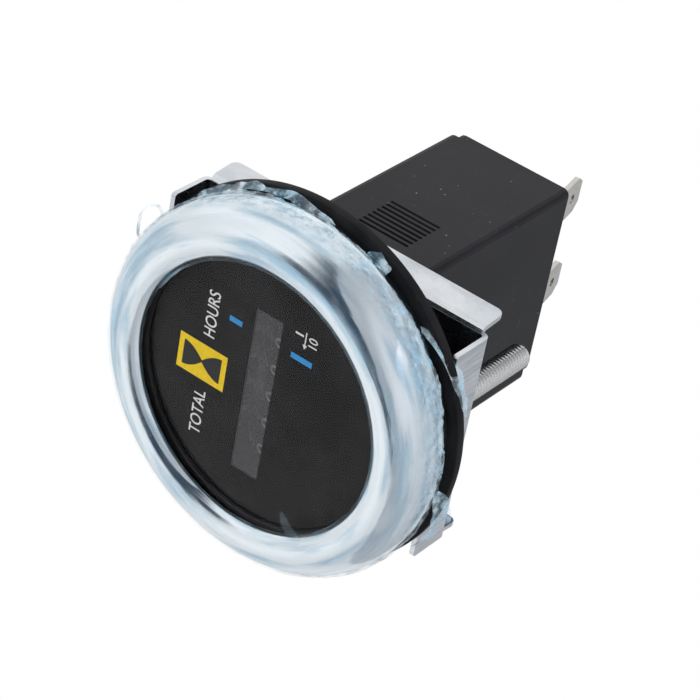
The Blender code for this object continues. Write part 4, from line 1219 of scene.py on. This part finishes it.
@dataclass(frozen=True)
class CounterPrint:
    """White digits round each number wheel."""

    axis_y: float = 1.4 * MM
    axis_z: float = 1.4 * MM
    middle_x: float = -1.6 * MM
    pitch: float = 4.9 * MM
    radius: float = 5.23 * MM
    height: float = 2.7 * MM
    width: float = 1.75 * MM
    slim: float = 0.45
    digits: int = 10
    wheels: int = 6

    def build(self) -> None:
        """Makes one print for each wheel."""
        faces = {digit: text_mesh(str(digit), 0.01, 0.008) for digit in range(self.digits)}
        for number in range(self.wheels):
            self.wheel(number, faces)

    def wheel(self, number: int, digits: Mapping[int, list[tuple[Vector, ...]]]) -> None:
        """The digits of one wheel, wrapped on its rim.

        Args:
            number: the wheel, 0 for the tenths.
            digits: the faces of each digit.
        """
        centre = self.middle_x + ((self.wheels - 1) / 2 - number) * self.pitch
        start = TAU / (2 * self.digits) if number == 0 else 0.0
        bm = bmesh.new()
        for digit, faces in digits.items():
            x0, x1, y0, y1 = spread(faces)
            wide = self.width * (self.slim if digit == 1 else 1.0)

            def where(point: Vector) -> Vector:
                """A text point's place on the rim."""
                x = centre + ((point.x - x0) / (x1 - x0) - 0.5) * wide
                rise = ((point.y - y0) / (y1 - y0) - 0.5) * self.height
                turn = rise / self.radius - digit * TAU / self.digits + start
                reach = self.radius + point.z * MM
                return Vector((x, self.axis_y - reach * math.cos(turn), self.axis_z + reach * math.sin(turn)))

            add_faces(bm, faces, where)
        place_mesh(f"wheel_print_{number + 1}", bm, WHITE_INK, f"wheel_{number + 1}", Slot.WHEEL)


# Gasket and studs


@dataclass(frozen=True)
class GasketSkin:
    """The gasket, finely turned."""

    hole: float = 24.5 * MM
    edge: float = 0.2 * MM
    segments: int = 240

    def build(self) -> None:
        """Makes the piece in place of its node."""
        low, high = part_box("gasket")
        radius, edge = high.x, self.edge
        corner = edge * 0.3
        profile = [(self.hole, low.y), (radius - edge, low.y), (radius - corner, low.y + corner),
                   (radius, low.y + edge), (radius, high.y - edge), (radius - corner, high.y - corner),
                   (radius - edge, high.y), (self.hole, high.y)]
        mesh = turned(profile, self.segments)
        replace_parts(place_mesh("gasket_skin", mesh, RUBBER, Body.METER.value, Slot.RUBBER), "gasket")


@dataclass(frozen=True)
class StudPair:
    """The two studs, each with a flat head and a thread cut along its whole shank."""

    centre_x: float = -1.6 * MM
    centre_z: float = 1.4 * MM
    apart: float = 19.6 * MM
    major: float = 2.0 * MM
    depth: float = 0.36 * MM
    pitch: float = 0.7 * MM
    chamfer: float = 0.55 * MM
    head: float = 3.6 * MM
    head_thick: float = 1.5 * MM
    wall: float = 22.5 * MM
    around: int = 40
    per_turn: int = 8

    def build(self) -> None:
        """Makes both studs in place of their nodes."""
        tree = self.tree()
        for node, side in (("stud_upper", 1), ("stud_lower", -1)):
            low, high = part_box(node)
            shank = low.y + self.head_thick
            steps = int((high.y - shank) / self.pitch * self.per_turn)
            values = {
                "Centre X": self.centre_x, "Centre Z": self.centre_z + side * self.apart,
                "Front": low.y, "Shank Front": shank, "Shank Rear": high.y, "Shank Rows": steps,
                "Points Round": self.around, "Major Radius": self.major, "Thread Depth": self.depth,
                "Pitch": self.pitch, "Chamfer": self.chamfer, "Head Radius": self.head,
                "Wall Radius": self.wall, "Finish": STEEL.material(),
            }
            bm = grown(tree, values)
            piece = place_mesh(f"{node}_thread", bm, STEEL, Body.METER.value, Slot.STEEL, sharp=55.0)
            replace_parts(piece, node)

    @staticmethod
    def tree() -> bpy.types.GeometryNodeTree:
        """A node tree that bends a plain cylinder's rings into a head and a threaded shank.

        Returns:
            The tree, with its sizes as named inputs.
        """
        numbers = ("Centre X", "Centre Z", "Front", "Shank Front", "Shank Rear", "Major Radius",
                   "Thread Depth", "Pitch", "Chamfer", "Head Radius", "Wall Radius")
        tree = bpy.data.node_groups.new("threaded_stud", "GeometryNodeTree")
        graph = Graph(tree)
        face = tree.interface
        face.new_socket("Geometry", in_out="OUTPUT", socket_type="NodeSocketGeometry")
        for name in numbers:
            face.new_socket(name, in_out="INPUT", socket_type="NodeSocketFloat")
        for name in ("Shank Rows", "Points Round"):
            face.new_socket(name, in_out="INPUT", socket_type="NodeSocketInt")
        face.new_socket("Finish", in_out="INPUT", socket_type="NodeSocketMaterial")
        given = graph.add("NodeGroupInput").outputs
        size = {name: Sock(graph, given[name]) for name in (*numbers, "Shank Rows")}

        # The plain cylinder has one ring for each row: two for the head, the rest for the shank.
        last_row = size["Shank Rows"] + 2.0
        cylinder = graph.add(
            "GeometryNodeMeshCylinder",
            {"fill_type": "NGON"},
            {"Vertices": given["Points Round"], "Side Segments": last_row.socket,
             "Radius": 1.0, "Depth": 1.0},
        )
        east, north, rise = graph.parts(graph.add("GeometryNodeInputPosition").outputs[0])
        row = ((rise + 0.5) * last_row).math("ROUND")
        on_head = row.math("LESS_THAN", 1.5)
        shank_share = (row - 2.0).math("MAXIMUM", 0.0) / size["Shank Rows"]
        head_length = size["Shank Front"] - size["Front"]
        shank_length = size["Shank Rear"] - size["Shank Front"]
        along = size["Front"] + row.math("MINIMUM", 1.0) * head_length + shank_share * shank_length

        phase = (along / size["Pitch"] - graph.math("ARCTAN2", north, east) / TAU).math("FRACT")
        tooth = (1.35 - (phase - 0.5).math("ABSOLUTE") * 3.4).math("MINIMUM", 1.0).math("MAXIMUM", 0.0)
        chamfer = (size["Chamfer"] - (size["Shank Rear"] - along)).math("MAXIMUM", 0.0)
        cut = (size["Thread Depth"] * (1.0 - tooth)).math("MAXIMUM", chamfer)
        thread = size["Major Radius"] - cut
        reach = on_head * size["Head Radius"] + (1.0 - on_head) * thread

        x = size["Centre X"] + reach * east
        z = size["Centre Z"] + reach * north
        inside_wall = (size["Wall Radius"] / (x * x + z * z) ** 0.5).math("MINIMUM", 1.0)
        trim = on_head * inside_wall + (1.0 - on_head)
        place = graph.join(x * trim, along, z * trim)

        sockets = {"Geometry": cylinder.outputs["Mesh"], "Position": place}
        moved = graph.add("GeometryNodeSetPosition", sockets=sockets).outputs[0]
        real = graph.add("GeometryNodeRealizeInstances", sockets={"Geometry": moved}).outputs[0]
        sockets = {"Geometry": real, "Material": given["Finish"]}
        dressed = graph.add("GeometryNodeSetMaterial", sockets=sockets).outputs[0]
        graph.add("NodeGroupOutput", sockets={"Geometry": dressed})
        return tree


# Studio


@dataclass(frozen=True)
class Studio:
    """Camera, lamps, floor and surroundings."""

    eye: Triple = (0.22984, -0.27354, -0.17863)
    right: Triple = (0.15848, 0.61181, -0.77497)
    up: Triple = (0.80883, 0.36971, 0.45728)
    lens: float = 138.84
    sensor: float = 36.0
    floor: float = -0.45
    floor_reach: float = 6.0
    aim: Triple = (0.0, 0.02, 0.0)
    lamp_size: float = 0.40
    lamps: tuple[tuple[str, Triple, float], ...] = (
        ("key", (0.25, -0.70, 0.35), 4.2),
        ("low", (0.35, -0.10, -0.42), 2.6),
    )
    dark_toward: tuple[tuple[Triple, float, float], ...] = (
        ((0.74, -0.50, -0.45), 0.72, 0.90),
        ((0.33, -0.88, -0.34), 0.74, 0.90),
        ((-0.02, -0.98, 0.16), 0.925, 0.975),
        ((-0.22, -0.97, 0.05), 0.925, 0.975),
        ((-0.27, -0.95, -0.16), 0.925, 0.975),
        ((-0.28, -0.89, -0.36), 0.925, 0.975),
    )

    def build(self) -> None:
        """Sets the scene's stage."""
        self.camera()
        for name, place, power in self.lamps:
            self.lamp(name, place, power)
        self.ground()
        self.surroundings()
        bpy.context.scene.view_settings.view_transform = "Standard"

    def camera(self) -> None:
        """The camera that took the photograph."""
        data = bpy.data.cameras.new("camera")
        data.lens = self.lens
        data.sensor_width = self.sensor
        data.clip_start = 0.01
        data.clip_end = 20.0
        made = bpy.data.objects.new("camera", data)
        right, up = Vector(self.right).normalized(), Vector(self.up).normalized()
        back = right.cross(up)
        turn = Matrix((right, up, back)).transposed().to_4x4()
        made.matrix_world = Matrix.Translation(Vector(self.eye)) @ turn
        bpy.context.scene.collection.objects.link(made)
        bpy.context.scene.camera = made

    def lamp(self, name: str, place: Triple, power: float) -> None:
        """A square soft lamp aimed at the object.

        Args:
            name: its name.
            place: where it stands.
            power: its power in watts.
        """
        data = bpy.data.lights.new(name, "AREA")
        data.energy = power
        data.size = self.lamp_size
        made = bpy.data.objects.new(name, data)
        made.location = place
        made.visible_glossy = False
        made.rotation_euler = (Vector(self.aim) - Vector(place)).to_track_quat("-Z", "Y").to_euler()
        bpy.context.scene.collection.objects.link(made)

    def ground(self) -> None:
        """The pale floor."""
        bm = bmesh.new()
        bmesh.ops.create_grid(bm, x_segments=1, y_segments=1, size=self.floor_reach)
        mesh = bpy.data.meshes.new("floor")
        bm.to_mesh(mesh)
        bm.free()
        mesh.materials.append(FLOOR.material())
        made = bpy.data.objects.new("floor", mesh)
        made.location = (0.0, 0.0, self.floor)
        bpy.context.scene.collection.objects.link(made)

    def surroundings(self) -> None:
        """White to the camera and through clear parts, a soft room for light and for reflections."""
        world = bpy.data.worlds.new("room")
        world.use_nodes = True
        bpy.context.scene.world = world
        graph = Graph(world.node_tree)
        direction = graph.add("ShaderNodeTexCoord").outputs["Generated"]
        x, y, z = graph.parts(direction)
        cloud = graph.noise(1.3, 1.0, 0.4, at=direction).above(0.36, 0.62, 0.84, 1.0)
        bright = z.above(-0.8, 0.6, 0.54, 0.97) * cloud
        seen = graph.blend(bright, (0.03, 0.04, 0.06), (1.0, 1.0, 1.0))
        dark = graph.math("ADD", 0.0, 0.0)
        for (east, rear, up), low, high in self.dark_toward:
            dark = dark.math("MAXIMUM", (x * east + y * rear + z * up).above(low, high))
        seen = graph.blend(dark, seen, (0.004, 0.010, 0.032))
        path = graph.add("ShaderNodeLightPath").outputs
        colour = graph.blend(Sock(graph, path["Is Glossy Ray"]), (0.50, 0.51, 0.53), seen)
        clear = Sock(graph, path["Is Camera Ray"]).math("MAXIMUM", Sock(graph, path["Is Transmission Ray"]))
        colour = graph.blend(clear, colour, (1.0, 1.0, 1.0))
        back = graph.add("ShaderNodeBackground", sockets={"Color": colour}).outputs[0]
        graph.add("ShaderNodeOutputWorld", sockets={"Surface": back})


# Assembly


def finish_for(node: str) -> tuple[Finish, Slot] | None:
    """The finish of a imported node, found by the start of its name."""
    for start, pair in CAD_FINISH.items():
        if node.startswith(start):
            return pair
    return None


def dress_nodes() -> None:
    """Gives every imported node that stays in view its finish."""
    for name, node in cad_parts.items():
        pair = finish_for(name)
        if pair is None:
            continue
        finish, slot = pair
        node.data.materials.clear()
        node.data.materials.append(finish.material())


def main() -> None:
    """Builds the whole look."""
    # Without a seed of its own, noise_vector would crumple the flaps by the clock.
    noise.seed_set(NOISE_SEED)
    dress_nodes()
    for assembly in (BezelAssembly(), DialAssembly(), CounterPrint(), GasketSkin(), StudPair()):
        log.info("building %s", type(assembly).__name__)
        assembly.build()
    Studio().build()


if __name__ == "__main__":
    main()
